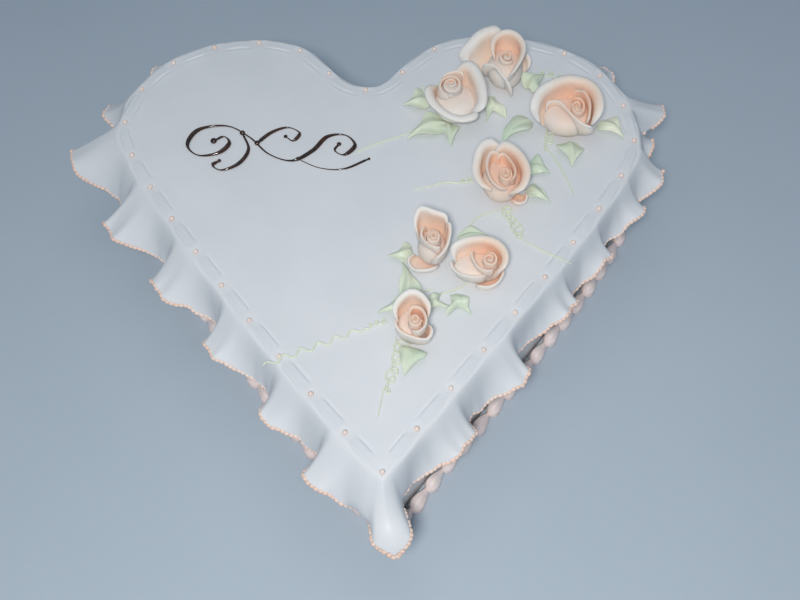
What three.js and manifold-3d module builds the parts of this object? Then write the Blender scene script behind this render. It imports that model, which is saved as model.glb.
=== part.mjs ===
// Heart-shaped celebration cake: a solid cake body, one rolled icing sheet draped over it with a
// ruffled hem, a piped shell border at the foot, ribbon strips let into the top edge, modelled
// roses with piped leaves, and a brown piped scroll.
// Millimetres, +Z up, the point of the heart towards -Y, resting on Z = 0.

import * as THREE from 'three';
import Module from 'manifold-3d';
import { mergeVertices } from 'three/addons/utils/BufferGeometryUtils.js';

// Driving dimensions.

const topHeight = 65;            // top face of the icing sheet
const sheetThickness = 2.6;      // rolled icing
const pieceGap = 0.3;            // between two pieces that lie on each other
const flatRim = 2;               // flat icing outside the line of beads
const bodyInset = 0.6;           // cake wall inside the line of beads
const centreX = -7.5;            // middle of the whole cake in drawing coordinates
const centreY = -31.2;

// The top edge: corner points and handles of four curves a side, in drawing coordinates.
const heartTip = [2.2, -147.5];
const heartCleft = [-5.9, 65.6];
const rightHalf = {
  side: 1, tipHandle: 58.3, tipAngle: 54.7, wideX: 124.6, wideY: 27.4, wideDown: 25.6, wideUp: 60,
  crownX: 48.5, crownY: 100.7, crownOut: 32.1, crownIn: 31.5, cleftHandle: 15,
};
const leftHalf = {
  side: -1, tipHandle: 57, tipAngle: 47.6, wideX: 131, wideY: 43.5, wideDown: 23.4, wideUp: 23.7,
  crownX: 68, crownY: 102.5, crownOut: 49.5, crownIn: 39.7, cleftHandle: 26.5,
};

// Ruffles of the hem, counter-clockwise from the tip: distance along the edge, how far the ruffle
// reaches out and hangs down, how far out the fold after it stays, and where that fold begins and
// ends as shares of the way to the next ruffle.
const ruffles = [
  [0, 30.2, 15, 6.5, 0.12, 0.26], [42, 16.5, 15, 8.5, 0.2, 0.4], [80, 18.5, 15, 6, 0.21, 0.34],
  [125, 14.5, 15, 8.5, 0.2, 0.34], [155, 14, 14, 6.5, 0.24, 0.4], [187, 15, 14, 9, 0.3, 0.42],
  [206, 17, 13, 8, 0.42, 0.58], [221, 13, 13, 8, 0.42, 0.58], [239, 25, 12, 8, 0.42, 0.58],
  [270, 18, 15, 8, 0.42, 0.58], [301, 16, 17, 7, 0.42, 0.58], [332, 14, 19, 7, 0.42, 0.58],
  [361, 11, 22, 7, 0.42, 0.58], [390, 8, 25, 7, 0.42, 0.58], [434, 9, 25, 7, 0.42, 0.58],
  [464, 12, 22, 7, 0.42, 0.58], [494, 15, 18, 8, 0.42, 0.58], [525, 18, 15, 8, 0.42, 0.58],
  [555, 21, 14, 8, 0.42, 0.58], [576, 30.5, 14, 13.8, 0.54, 0.76], [617, 26.5, 15, 11, 0.64, 0.8],
  [658, 22.5, 15, 8.5, 0.7, 0.82], [702, 20, 15, 9.5, 0.64, 0.82], [747, 19.5, 15, 10.5, 0.62, 0.8],
  [783.5, 22, 15, 14.5, 0.7, 0.84],
];
const frontStretch = 235;        // up to here a ruffle is steep on its side away from the tip
const steepShare = 0.18;         // length of a steep side, as a share of the way between ruffles
const gentleShare = 0.5;         // and of a gentle side
const evenShare = 0.36;          // and of both sides of a ruffle at the back
const tipNarrowing = 0.45;       // how much the tip ruffle narrows to its point
const tipLean = 3.8;             // how far the end of the tip ruffle is drawn to the right
const foldDrop = 24;             // how far a fold hangs down
const foldAngle = 82;            // slope of a fold at the hem, degrees
const ruffleAngle = 22;          // slope of a ruffle at the hem, degrees
const tipRuffleAngle = -9;       // and of the tip ruffle, whose end turns up a little
const shoulder = 3.6;            // roundness of the top edge
const hemCurve = 9;              // length of the straight end of the section
const tipRuffleCurve = 15;       // and of that of the tip ruffle
const hemBead = 1.4;             // radius of the piped hem
const normalReach = 16;          // the outward direction is averaged this far along the edge
const sheetStations = 240;
const edgeShare = 0.6;           // how much the edge counts against the hem in their spacing

const stripCount = 34;           // ribbon strips, with an icing bead in each gap
const stripLength = 18.6;
const stripWidth = 5.6;
const stripHeight = 1.5;
const tipMargin = 6.5;           // the strips beside the tip stop short of it
const beadRadius = 1.25;

const shellCount = 66;           // piped shells round the foot
const shellReach = 7.6;
const shellHeight = 8.4;
const shellTail = 0.55;          // tail size as a share of the bulb

// Roses: name, x, y, outer radius, height, turn in degrees, lean x, lean y, petal spread.
const roses = [
  ['rose_top', 60, 73.6, 16.6, 21, 215, 0.10, -0.12, 0.16],
  ['rose_round', 36.6, 50.4, 14.4, 18, 285, -0.12, 0.02, 0.10],
  ['rose_large', 92, 40, 17.2, 20, 250, 0.12, -0.06, 0.10],
  ['rose_oval', 57.8, 0.5, 13.8, 18, 130, 0.02, -0.18, 0.08],
  ['rose_tall_bud', 23, -38.2, 9.8, 21, 100, 0.08, -0.12, 0.12],
  ['rose_wide', 45.4, -52, 13.2, 16, 190, 0.16, -0.06, 0.16],
  ['rose_small_bud', 14.2, -79.4, 9.4, 18, 60, 0.06, -0.16, 0.14],
];
const roseSides = 16;

// Leaves: base x, base y, tip x, tip y, width. Leaves of one entry grow from one root.
const leaves = [
  [[23.2, 57.2, 10.8, 53.4, 10]],
  [[32.6, 39.6, 12.8, 30.6, 12], [33.2, 39.4, 34.4, 24.6, 8]],
  [[54.4, 56.8, 57.8, 41.4, 8]],
  [[75.2, 62, 84, 72, 11]],
  [[73.8, 40.6, 59.2, 25.2, 10]],
  [[92.0, 25.0, 92.6, 10.6, 11]],
  [[108.4, 37.4, 119.4, 27.6, 10]],
  [[71.2, 9.6, 81.6, 6.2, 10]],
  [[71.0, -2.4, 80.4, -11.2, 8]],
  [[14.6, -38.2, 3.6, -40.6, 9]],
  [[36.0, -32.6, 53.4, -33.0, 7]],
  [[34.8, -63.2, 35.6, -73.6, 9]],
  [[12.2, -67.4, 10.4, -44.4, 9], [11.8, -67.2, -0.6, -71.4, 7]],
  [[21.2, -67.8, 30.2, -64.4, 7]],
  [[13.8, -90.4, 11, -103.4, 10]],
];
const leafRise = 3.4;
const leafThickness = 1.2;

// Strokes of the piped scroll, each a smooth line through a few points, with its widest radius.
const scrollStrokes = [
  [1.3, [-84, 33], [-79, 36], [-76, 31], [-81, 25], [-91, 24], [-97, 31], [-92, 41], [-78, 43],
    [-66, 35], [-56, 24], [-44, 19], [-34, 25], [-27, 34], [-18, 35], [-13, 28], [-18, 22],
    [-23, 25], [-21, 29]],
  [1.1, [-62, 31], [-55, 38], [-47, 41], [-41, 37], [-44, 32], [-48, 35]],
  [1.1, [-70, 38], [-66, 27], [-70, 18], [-78, 14], [-83, 17], [-80, 20]],
  [0.9, [-41, 20], [-30, 14], [-18, 13], [-6, 19]],
];
const scrollStep = 5;

// Small helpers.

const radians = THREE.MathUtils.degToRad;
const mix = THREE.MathUtils.lerp;
const { smoothstep } = THREE.MathUtils;

// Turns rows of points into a closed solid. Each row is a closed loop of points. The rows join in
// a loop too, or the first and last row are filled: flat ones as outlines, small ones as fans.
function solidFromRows(rows, { rowsJoin = false, outlineCaps = false } = {}) {
  const perRow = rows[0].length;
  const positions = rows.flat(2);
  const triangles = [];
  const lastRow = rowsJoin ? rows.length : rows.length - 1;
  for (let row = 0; row < lastRow; row += 1) {
    const next = (row + 1) % rows.length;
    for (let i = 0; i < perRow; i += 1) {
      const j = (i + 1) % perRow;
      const a = row * perRow + i;
      const b = row * perRow + j;
      const c = next * perRow + j;
      const d = next * perRow + i;
      triangles.push(a, b, c, a, c, d);
    }
  }
  if (!rowsJoin) {
    const caps = [[0, true], [rows.length - 1, false]];
    for (const [row, reversed] of caps) {
      const start = row * perRow;
      let faces = [];
      if (outlineCaps) {
        const outline = rows[row].map((p) => new THREE.Vector2(p[0], p[1]));
        faces = THREE.ShapeUtils.triangulateShape(outline, []);
        if (THREE.ShapeUtils.isClockWise(outline)) {
          faces = faces.map(([a, b, c]) => [a, c, b]);
        }
      } else {
        for (let i = 1; i < perRow - 1; i += 1) {
          faces.push([0, i, i + 1]);
        }
      }
      for (const [a, b, c] of faces) {
        if (reversed) {
          triangles.push(start + a, start + c, start + b);
        } else {
          triangles.push(start + a, start + b, start + c);
        }
      }
    }
  }
  const geometry = new THREE.BufferGeometry();
  geometry.setAttribute('position', new THREE.Float32BufferAttribute(positions, 3));
  geometry.setIndex(triangles);
  return facingOut(geometry);
}

// Turns every face round if the solid is inside out.
function facingOut(geometry) {
  const position = geometry.getAttribute('position');
  const index = geometry.getIndex();
  const a = new THREE.Vector3();
  const b = new THREE.Vector3();
  const c = new THREE.Vector3();
  let volume = 0;
  for (let i = 0; i < index.count; i += 3) {
    a.fromBufferAttribute(position, index.getX(i));
    b.fromBufferAttribute(position, index.getX(i + 1));
    c.fromBufferAttribute(position, index.getX(i + 2));
    volume += a.dot(b.cross(c));
  }
  if (volume < 0) {
    for (let i = 0; i < index.count; i += 3) {
      const second = index.getX(i + 1);
      index.setX(i + 1, index.getX(i + 2));
      index.setX(i + 2, second);
    }
  }
  return geometry;
}

const wasm = await Module();
wasm.setup();

// A closed geometry as a solid that can be joined to others.
function toSolid(geometry) {
  const bare = geometry.clone();
  bare.deleteAttribute('normal');
  bare.deleteAttribute('uv');
  const merged = mergeVertices(bare, 1e-4);
  return new wasm.Manifold(new wasm.Mesh({
    numProp: 3,
    vertProperties: new Float32Array(merged.getAttribute('position').array),
    triVerts: new Uint32Array(merged.getIndex().array),
  }));
}

// A joined solid as a geometry again.
function toGeometry(solid) {
  const mesh = solid.getMesh();
  const geometry = new THREE.BufferGeometry();
  const positions = new Float32Array(mesh.vertProperties);
  geometry.setAttribute('position', new THREE.BufferAttribute(positions, 3));
  geometry.setIndex(Array.from(mesh.triVerts));
  return geometry;
}

function joined(geometries) {
  let whole = toSolid(geometries[0]);
  for (const geometry of geometries.slice(1)) {
    whole = whole.add(toSolid(geometry));
  }
  return toGeometry(whole);
}

// The top edge: the three curves of one half, from the tip by the widest point and the crown to the cleft.
function halfEdge(half) {
  const { side } = half;
  const at = (x, y) => new THREE.Vector2(x, y);
  const tip = at(...heartTip);
  const cleft = at(...heartCleft);
  const wide = at(side * half.wideX, half.wideY);
  const crown = at(side * half.crownX, half.crownY);
  const angle = radians(half.tipAngle);
  const fromTip = at(
    tip.x + side * half.tipHandle * Math.cos(angle),
    tip.y + half.tipHandle * Math.sin(angle),
  );
  return [
    [tip, fromTip, at(wide.x, wide.y - half.wideDown), wide],
    [wide, at(wide.x, wide.y + half.wideUp), at(crown.x + side * half.crownOut, crown.y), crown],
    [crown, at(crown.x - side * half.crownIn, crown.y),
      at(cleft.x + side * half.cleftHandle, cleft.y), cleft],
  ];
}

const topEdge = new THREE.CurvePath();
for (const points of halfEdge(rightHalf)) {
  topEdge.add(new THREE.CubicBezierCurve(...points));
}
for (const points of halfEdge(leftHalf).reverse()) {
  topEdge.add(new THREE.CubicBezierCurve(...points.reverse()));
}
const edgeLength = topEdge.getLength();

function edgePoint(distance) {
  const share = THREE.MathUtils.euclideanModulo(distance, edgeLength) / edgeLength;
  return topEdge.getPoint(share);
}

// The outward direction, averaged along the edge so that it turns smoothly round tip and cleft.
function outward(distance, reach = normalReach) {
  const halfChord = reach / 8;
  let x = 0;
  let y = 0;
  for (let k = -4; k <= 4; k += 1) {
    const middle = distance + (k / 4) * reach;
    const before = edgePoint(middle - halfChord);
    const after = edgePoint(middle + halfChord);
    const length = before.distanceTo(after);
    const weight = 1.2 - Math.abs(k / 4);
    x += (weight * (after.y - before.y)) / length;
    y -= (weight * (after.x - before.x)) / length;
  }
  const size = Math.hypot(x, y);
  return [x / size, y / size];
}

// A point out from the edge, square to it, at a height. The end of the tip ruffle leans over.
function besideEdge(distance, out, height, reach) {
  const point = edgePoint(distance);
  const [x, y] = outward(distance, reach);
  const place = THREE.MathUtils.euclideanModulo(distance, edgeLength);
  const fromTip = Math.min(place, edgeLength - place);
  const free = THREE.MathUtils.clamp((out - 6) / 25, 0, 1);
  const lean = tipLean * Math.exp(-((fromTip / 9) ** 2)) * free ** 1.5;
  return [point.x + x * out + lean, point.y + y * out, height];
}

// Reach, drop, end slope and length of the straight end of the hem at one place along the edge.
function hemAt(distance) {
  const place = THREE.MathUtils.euclideanModulo(distance, edgeLength);
  let last = 0;
  for (let k = 0; k < ruffles.length; k += 1) {
    if (ruffles[k][0] <= place) {
      last = k;
    }
  }
  const here = ruffles[last];
  const following = ruffles[(last + 1) % ruffles.length];
  const end = last === ruffles.length - 1 ? edgeLength : following[0];
  const share = (place - here[0]) / (end - here[0]);
  const [, , , foldReach, foldFrom, foldTo] = here;
  let down = evenShare;
  let up = evenShare;
  if (place < frontStretch) {
    down = steepShare;
    up = gentleShare;
  } else if (place > edgeLength - frontStretch) {
    down = gentleShare;
    up = steepShare;
  }
  const leaving = share < (foldFrom + foldTo) / 2;
  const ruffle = leaving ? here : following;
  let lift = leaving
    ? 1 - smoothstep(share, foldFrom - down, foldFrom)
    : smoothstep(share, foldTo, foldTo + up);
  const onTip = ruffle === ruffles[0];
  if (onTip) {
    // The tip ruffle is a tongue that narrows to a point between two steep sides.
    const aside = Math.min(1, leaving ? share / foldFrom : (1 - share) / (1 - foldTo));
    lift = (1 - tipNarrowing * aside ** 0.6) * (1 - smoothstep(aside, 0.55, 1));
  }
  return {
    reach: mix(Math.min(foldReach, ruffle[1]), ruffle[1], lift),
    drop: mix(Math.max(foldDrop, ruffle[2]), ruffle[2], lift),
    slope: radians(mix(foldAngle, onTip ? tipRuffleAngle : ruffleAngle, lift)),
    straight: mix(hemCurve, onTip ? tipRuffleCurve : hemCurve, lift),
  };
}

// The section of the sheet outside the edge: the upper face out to the hem, round the piped bead,
// and the lower face back, as pairs of distance out and height.
function sheetSection(distance) {
  const { reach, drop, slope, straight } = hemAt(distance);
  const curve = new THREE.CubicBezierCurve(
    new THREE.Vector2(flatRim, 0),
    new THREE.Vector2(flatRim + shoulder, 0),
    new THREE.Vector2(reach - straight * Math.cos(slope), -drop + straight * Math.sin(slope)),
    new THREE.Vector2(reach, -drop),
  );
  const upper = [];
  const lower = [];
  for (const t of [0, 0.14, 0.32, 0.62, 1]) {
    const point = curve.getPoint(t);
    const along = curve.getTangent(t);
    upper.push([point.x, point.y]);
    lower.push([point.x + along.y * sheetThickness, point.y - along.x * sheetThickness]);
  }
  const end = curve.getTangent(1);
  const middle = curve.getPoint(1);
  const beadX = middle.x + (end.y * sheetThickness) / 2;
  const beadZ = middle.y - (end.x * sheetThickness) / 2;
  const bead = [
    [beadX + end.x * hemBead, beadZ + end.y * hemBead],
  ];
  lower.splice(3, 1);
  return [...upper, ...bead, ...lower.reverse()];
}

// Places along the edge for the sections of the sheet, closer together where the hem swings out.
function sheetPlaces() {
  const stride = 0.5;
  const runs = [];
  let run = 0;
  let before;
  for (let place = 0; place < edgeLength; place += stride) {
    const { reach, drop } = hemAt(place);
    const point = new THREE.Vector3(...besideEdge(place, reach, -drop));
    run += (before ? point.distanceTo(before) : stride) + edgeShare * stride;
    runs.push(run);
    before = point;
  }
  const places = [];
  for (let i = 0; i < sheetStations; i += 1) {
    const wanted = (i / sheetStations) * run;
    const next = Math.max(1, runs.findIndex((value) => value > wanted));
    const share = (wanted - runs[next - 1]) / (runs[next] - runs[next - 1]);
    places.push(Math.max(0, (next - 1 + share) * stride));
  }
  return places;
}

function makeSheet() {
  const columns = [];
  for (const distance of sheetPlaces()) {
    const section = sheetSection(distance);
    columns.push(section.map(([out, z]) => besideEdge(distance, out, topHeight + z)));
  }
  const rows = columns[0].map((_, ring) => columns.map((column) => column[ring]));
  const pieces = [solidFromRows(rows, { outlineCaps: true })];
  for (let i = 0; i < stripCount; i += 1) {
    const bead = new THREE.SphereGeometry(beadRadius, 6, 4);
    bead.translate(...besideEdge((i / stripCount) * edgeLength, 0, topHeight + 0.4, 4));
    pieces.push(bead);
  }
  return joined(pieces);
}

function makeBody() {
  const stations = 160;
  const top = topHeight - sheetThickness - pieceGap;
  const rows = [0, top].map((height) => {
    const row = [];
    for (let i = 0; i < stations; i += 1) {
      row.push(besideEdge((i / stations) * edgeLength, -bodyInset, height, 8));
    }
    return row;
  });
  return solidFromRows(rows, { outlineCaps: true });
}

// One ring of shells: each swells to a bulb at its tip-side end and tapers to a tail.
function makeShells() {
  // Place along one shell, and its size there as a share of the bulb.
  const shape = [[0.03, 1], [0.4, 0.85], [0.84, shellTail]];
  const inside = -bodyInset + 0.8;
  const rows = [];
  const half = shellCount / 2;
  for (let i = 0; i < shellCount; i += 1) {
    const onRight = i < half;
    const steps = onRight ? [0, 1, 2] : [2, 1, 0];
    for (const step of steps) {
      const share = onRight ? shape[step][0] : 1 - shape[step][0];
      const distance = ((i + share) / shellCount) * edgeLength;
      const size = shape[step][1];
      const wide = inside + (shellReach - inside) * size;
      const tall = shellHeight * size;
      const section = [
        [inside, 0], [wide * 0.86, 0], [wide, tall * 0.36], [mix(inside, wide, 0.72), tall * 0.86],
        [mix(inside, wide, 0.3), tall], [inside, tall * 0.9],
      ];
      rows.push(section.map(([out, z]) => besideEdge(distance, out, z, 8)));
    }
  }
  return solidFromRows(rows, { rowsJoin: true });
}

// A low, rounded strip that follows the edge between two beads.
function makeStrip(index) {
  const spacing = edgeLength / stripCount;
  const start = index * spacing + (index === 0 ? tipMargin : (spacing - stripLength) / 2);
  const last = index === stripCount - 1;
  const end = (index + 1) * spacing - (last ? tipMargin : (spacing - stripLength) / 2);
  const base = topHeight + pieceGap;
  const rows = [-0.5, 0, 0.5].map((share) => {
    const distance = mix(start, end, share + 0.5);
    const narrow = share === 0 ? 1 : 0.86;
    const half = (stripWidth / 2) * narrow;
    const tall = stripHeight * (share === 0 ? 1 : 0.7);
    const section = [[-half, 0], [half, 0], [half * 0.72, tall * 0.85], [0, tall],
      [-half * 0.72, tall * 0.85]];
    return section.map(([out, z]) => besideEdge(distance, out - 0.4, base + z, 6));
  });
  return solidFromRows(rows);
}

// A rose: a narrow foot, three outer petals with spread lips, and a rolled bud in the middle.
function makeRose([, x, y, radius, height, turn, leanX, leanY, spread]) {
  const base = topHeight + pieceGap;
  // Share of the radius, share of the height, and how much the three petals shape the ring.
  const rings = [
    [0.5, 0, 0], [0.66, 0.12, 0.1], [0.82, 0.36, 0.4], [0.98, 0.66, 1], [0.92, 0.76, 1],
    [0.6, 0.62, 0.3], [0.5, 0.86, 0], [0.36, 1, 0], [0.14, 0.84, 0],
  ];
  const rows = rings.map(([wide, tall, petal]) => {
    const row = [];
    for (let i = 0; i < roseSides; i += 1) {
      const angle = (i / roseSides) * 2 * Math.PI;
      const wave = Math.cos(3 * (angle - radians(turn)));
      const main = Math.cos(angle - radians(turn));
      const out = radius * wide * (1 + petal * spread * (0.4 * wave + 0.6 * main - 0.4));
      const z = height * tall * (1 + petal * spread * (0.3 * wave - 0.8 * main));
      row.push([
        x + out * Math.cos(angle) + leanX * z,
        y + out * Math.sin(angle) + leanY * z,
        base + z,
      ]);
    }
    return row;
  });
  return solidFromRows(rows, { outlineCaps: true });
}

// A pointed leaf that arches up and down again, raised along its middle vein.
function makeLeaf([baseX, baseY, tipX, tipY, width], phase) {
  const base = topHeight + pieceGap;
  const length = Math.hypot(tipX - baseX, tipY - baseY);
  const alongX = (tipX - baseX) / length;
  const alongY = (tipY - baseY) / length;
  const rows = [0, 0.25, 0.5, 0.78, 1].map((share, step) => {
    const swell = [0.55, 0.96, 1, 0.62, 0.08][step];
    const half = (width / 2) * swell;
    const arch = leafRise * Math.sin(Math.PI * Math.min(1, share + 0.08)) ** 0.8;
    const wavy = 0.5 * Math.sin(phase + 5 * share);
    const deep = leafThickness * (0.35 + 0.65 * swell);
    const section = [[half, 0.55 + wavy * swell], [0, deep], [-half, 0.55 - wavy * swell], [0, 0]];
    return section.map(([across, z]) => [
      baseX + alongX * share * length - alongY * across,
      baseY + alongY * share * length + alongX * across,
      base + 0.05 + arch + z,
    ]);
  });
  return solidFromRows(rows);
}

// One stroke of piped icing with a flat foot, thick in the middle and thin at both ends.
function makeStroke([thick, ...points]) {
  const path = new THREE.CatmullRomCurve3(points.map(([x, y]) => new THREE.Vector3(x, y, 0)));
  const steps = Math.round(path.getLength() / scrollStep);
  const base = topHeight + pieceGap;
  const rows = [];
  for (let i = 0; i <= steps; i += 1) {
    const share = i / steps;
    const point = path.getPointAt(share);
    const along = path.getTangentAt(share);
    const half = thick * (0.45 + 0.55 * Math.sin(Math.PI * share));
    const section = [[-half, 0], [half, 0], [half * 0.6, half], [-half * 0.6, half]];
    rows.push(section.map(([across, z]) => [
      point.x - along.y * across, point.y + along.x * across, base + z,
    ]));
  }
  return solidFromRows(rows);
}

// The pieces put together, each with its own colour.

const icing = { color: 0xe9edf0, roughness: 0.55, metalness: 0 };
const looks = {
  cake_body: { color: 0xe6dfd2, roughness: 0.85, metalness: 0 },
  shell_border: { color: 0xf0cfc4, roughness: 0.6, metalness: 0 },
  icing_sheet: icing,
  ribbon: icing,
  rose: { color: 0xf3cdb4, roughness: 0.6, metalness: 0 },
  leaf: { color: 0xcfe2c4, roughness: 0.5, metalness: 0 },
  scroll: { color: 0x2a130b, roughness: 0.25, metalness: 0 },
};

const cake = new THREE.Group();
cake.position.set(-centreX, -centreY, 0);

function addPiece(name, geometry, look) {
  const mesh = new THREE.Mesh(geometry, new THREE.MeshStandardMaterial(look));
  mesh.name = name;
  cake.add(mesh);
}

addPiece('cake_body', makeBody(), looks.cake_body);
addPiece('shell_border', makeShells(), looks.shell_border);
addPiece('icing_sheet', makeSheet(), looks.icing_sheet);
for (let i = 0; i < stripCount; i += 1) {
  addPiece(`ribbon_${String(i + 1).padStart(2, '0')}`, makeStrip(i), looks.ribbon);
}
for (const rose of roses) {
  addPiece(rose[0], makeRose(rose), looks.rose);
}
leaves.forEach((group, i) => {
  const geometries = group.map((leaf, k) => makeLeaf(leaf, i + 2 * k));
  const geometry = geometries.length > 1 ? joined(geometries) : geometries[0];
  addPiece(`leaf_${String(i + 1).padStart(2, '0')}`, geometry, looks.leaf);
});
addPiece('scroll', joined(scrollStrokes.map(makeStroke)), looks.scroll);

const wholeCake = new THREE.Group();
wholeCake.add(cake);

export default wholeCake;
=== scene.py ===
import math
import random

import bpy
import numpy as np
from mathutils import Matrix, Vector


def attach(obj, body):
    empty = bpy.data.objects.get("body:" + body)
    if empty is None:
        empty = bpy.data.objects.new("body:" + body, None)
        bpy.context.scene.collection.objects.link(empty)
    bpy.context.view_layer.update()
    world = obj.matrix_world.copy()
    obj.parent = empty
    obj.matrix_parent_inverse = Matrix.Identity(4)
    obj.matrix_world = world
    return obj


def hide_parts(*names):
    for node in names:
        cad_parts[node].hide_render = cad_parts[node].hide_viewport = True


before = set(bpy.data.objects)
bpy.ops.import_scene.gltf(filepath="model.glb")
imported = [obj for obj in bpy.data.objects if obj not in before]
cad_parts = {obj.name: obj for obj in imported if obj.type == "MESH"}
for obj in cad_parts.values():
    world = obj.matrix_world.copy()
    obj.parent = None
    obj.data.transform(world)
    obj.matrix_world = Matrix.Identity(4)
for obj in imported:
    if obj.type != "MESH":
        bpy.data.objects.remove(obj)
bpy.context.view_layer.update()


# Floor, light and camera.
# A plain pale table top under studio light: a lamp beside the camera, a wide soft one overhead
# and a pale surround. The camera looks down at the cake as in the photograph.

MM = 0.001
IMAGE_WIDTH = 800
FOCAL_PIXELS = 1060
SENSOR_WIDTH = 36
CAMERA_PLACE = Vector((30.51, -294.25, 461.0)) * MM
CAMERA_TURN = math.radians(3.0)
CAMERA_DOWN = math.radians(56.546)
CAMERA_ROLL = math.radians(-3.576)


def make_camera():
    forward = Vector((
        -math.sin(CAMERA_TURN) * math.cos(CAMERA_DOWN),
        math.cos(CAMERA_TURN) * math.cos(CAMERA_DOWN),
        -math.sin(CAMERA_DOWN),
    ))
    level = Vector((math.cos(CAMERA_TURN), math.sin(CAMERA_TURN), 0))
    upright = level.cross(forward)
    right = math.cos(CAMERA_ROLL) * level + math.sin(CAMERA_ROLL) * upright
    up = -math.sin(CAMERA_ROLL) * level + math.cos(CAMERA_ROLL) * upright
    bpy.ops.object.camera_add()
    camera = bpy.context.object
    camera.name = "camera"
    turn = Matrix((right, up, -forward)).transposed().to_4x4()
    camera.matrix_world = Matrix.Translation(CAMERA_PLACE) @ turn
    camera.data.sensor_width = SENSOR_WIDTH
    camera.data.lens = FOCAL_PIXELS / IMAGE_WIDTH * SENSOR_WIDTH
    camera.data.clip_start = 0.01
    bpy.context.scene.camera = camera


def soft_lamp(name, place, target, size, power, colour):
    bpy.ops.object.light_add(type="AREA", location=place)
    lamp = bpy.context.object
    lamp.name = name
    lamp.data.shape = "DISK"
    lamp.data.size = size
    lamp.data.energy = power
    lamp.data.color = colour
    lamp.rotation_euler = (Vector(target) - Vector(place)).to_track_quat("-Z", "Y").to_euler()


make_camera()
soft_lamp("lamp_beside_camera", place=(-0.01, -0.43, 0.64), target=(0.0, 0.0, 0.04), size=0.12,
          power=3.25, colour=(1.0, 0.98, 0.95))
soft_lamp("lamp_overhead", place=(0.05, 0.15, 0.95), target=(0.0, 0.0, 0.0), size=0.8,
          power=0.9, colour=(0.93, 0.97, 1.0))

surround = bpy.data.worlds.new("surround")
surround.use_nodes = True
surround.node_tree.nodes["Background"].inputs["Color"].default_value = (0.64, 0.80, 1.0, 1)
surround.node_tree.nodes["Background"].inputs["Strength"].default_value = 0.24
bpy.context.scene.world = surround
bpy.context.scene.view_settings.view_transform = "Standard"

bpy.ops.mesh.primitive_plane_add(size=4)
table_top = bpy.context.object
table_top.name = "table_top"


def new_material(name):
    material = bpy.data.materials.new(name)
    material.use_nodes = True
    return material, material.node_tree, material.node_tree.nodes["Principled BSDF"]


def set_inputs(part, **values):
    """Sets inputs of a shader node by name, with an underscore where the name has a space."""
    for key, value in values.items():
        part.inputs[key.replace("_", " ")].default_value = value
    return part


def node(tree, kind, **values):
    return set_inputs(tree.nodes.new(kind), **values)


def colour_ramp(tree, *stops):
    """A colour ramp through stops in rising order, each a position and a colour."""
    made = tree.nodes.new("ShaderNodeValToRGB")
    while len(made.color_ramp.elements) < len(stops):
        made.color_ramp.elements.new(1.0)
    for element, (position, colour) in zip(made.color_ramp.elements, stops):
        element.position = position
        element.color = (*colour, 1)
    return made


def wire(tree, *runs):
    """Joins shader nodes: each run is a node, its output, the next node and its input."""
    for source, output, target, entry in runs:
        tree.links.new(source.outputs[output], target.inputs[entry])


def make_table_material():
    material, tree, shader = new_material("painted_table")
    place = node(tree, "ShaderNodeTexCoord")
    mottle = node(tree, "ShaderNodeTexNoise", Scale=9.0, Detail=4.0, Roughness=0.6)
    grain = node(tree, "ShaderNodeTexNoise", Scale=420.0, Detail=2.0)
    tone = colour_ramp(tree, (0, (0.46, 0.54, 0.615)), (1, (0.505, 0.585, 0.665)))
    bump = node(tree, "ShaderNodeBump", Strength=0.1, Distance=0.0003)
    wire(tree, (place, "Object", mottle, "Vector"), (mottle, "Fac", tone, "Fac"),
         (tone, "Color", shader, "Base Color"), (place, "Object", grain, "Vector"),
         (grain, "Fac", bump, "Height"), (bump, "Normal", shader, "Normal"))
    set_inputs(shader, Roughness=0.6)
    return material


table_top.data.materials.append(make_table_material())


# Cake body.
# A heart-shaped sponge under a smooth coat of white icing. Only its wall shows, in the shade
# under the ruffled hem. The same top edge also carries the sheet, the strips and the beads.

TOP_HEIGHT = 65
SHEET_THICKNESS = 2.6
PIECE_GAP = 0.3
BODY_INSET = 0.6
# The end of the ruffle at the point of the heart leans over: how far, from how far out and over
# what run it grows, and how far along the edge it is felt.
TIP_LEAN = 3.8
LEAN_START = 6
LEAN_RUN = 25
LEAN_WIDTH = 9
CENTRE = np.array([-7.5, -31.2])
HEART_TIP = (2.2, -147.5)
HEART_CLEFT = (-5.9, 65.6)
RIGHT_HALF = dict(
    side=1, tip_handle=58.3, tip_angle=54.7, wide=(124.6, 27.4), wide_down=25.6, wide_up=60,
    crown=(48.5, 100.7), crown_out=32.1, crown_in=31.5, cleft_handle=15,
)
LEFT_HALF = dict(
    side=-1, tip_handle=57, tip_angle=47.6, wide=(131, 43.5), wide_down=23.4, wide_up=23.7,
    crown=(68, 102.5), crown_out=49.5, crown_in=39.7, cleft_handle=26.5,
)


def half_edge(side, tip_handle, tip_angle, wide, wide_down, wide_up, crown, crown_out, crown_in,
              cleft_handle):
    """The three curves of one half of the heart, from its tip to its cleft."""
    angle = math.radians(tip_angle)
    start = (
        HEART_TIP[0] + side * tip_handle * math.cos(angle),
        HEART_TIP[1] + tip_handle * math.sin(angle),
    )
    wide_x, wide_y = side * wide[0], wide[1]
    crown_x, crown_y = side * crown[0], crown[1]
    return [
        [HEART_TIP, start, (wide_x, wide_y - wide_down), (wide_x, wide_y)],
        [(wide_x, wide_y), (wide_x, wide_y + wide_up),
         (crown_x + side * crown_out, crown_y), (crown_x, crown_y)],
        [(crown_x, crown_y), (crown_x - side * crown_in, crown_y),
         (HEART_CLEFT[0] + side * cleft_handle, HEART_CLEFT[1]), HEART_CLEFT],
    ]


def bezier(points, share):
    a, b, c, d = (np.array(point, float) for point in points)
    s = np.asarray(share, float)[..., None]
    return (1 - s) ** 3 * a + 3 * (1 - s) ** 2 * s * b + 3 * (1 - s) * s ** 2 * c + s ** 3 * d


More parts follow.
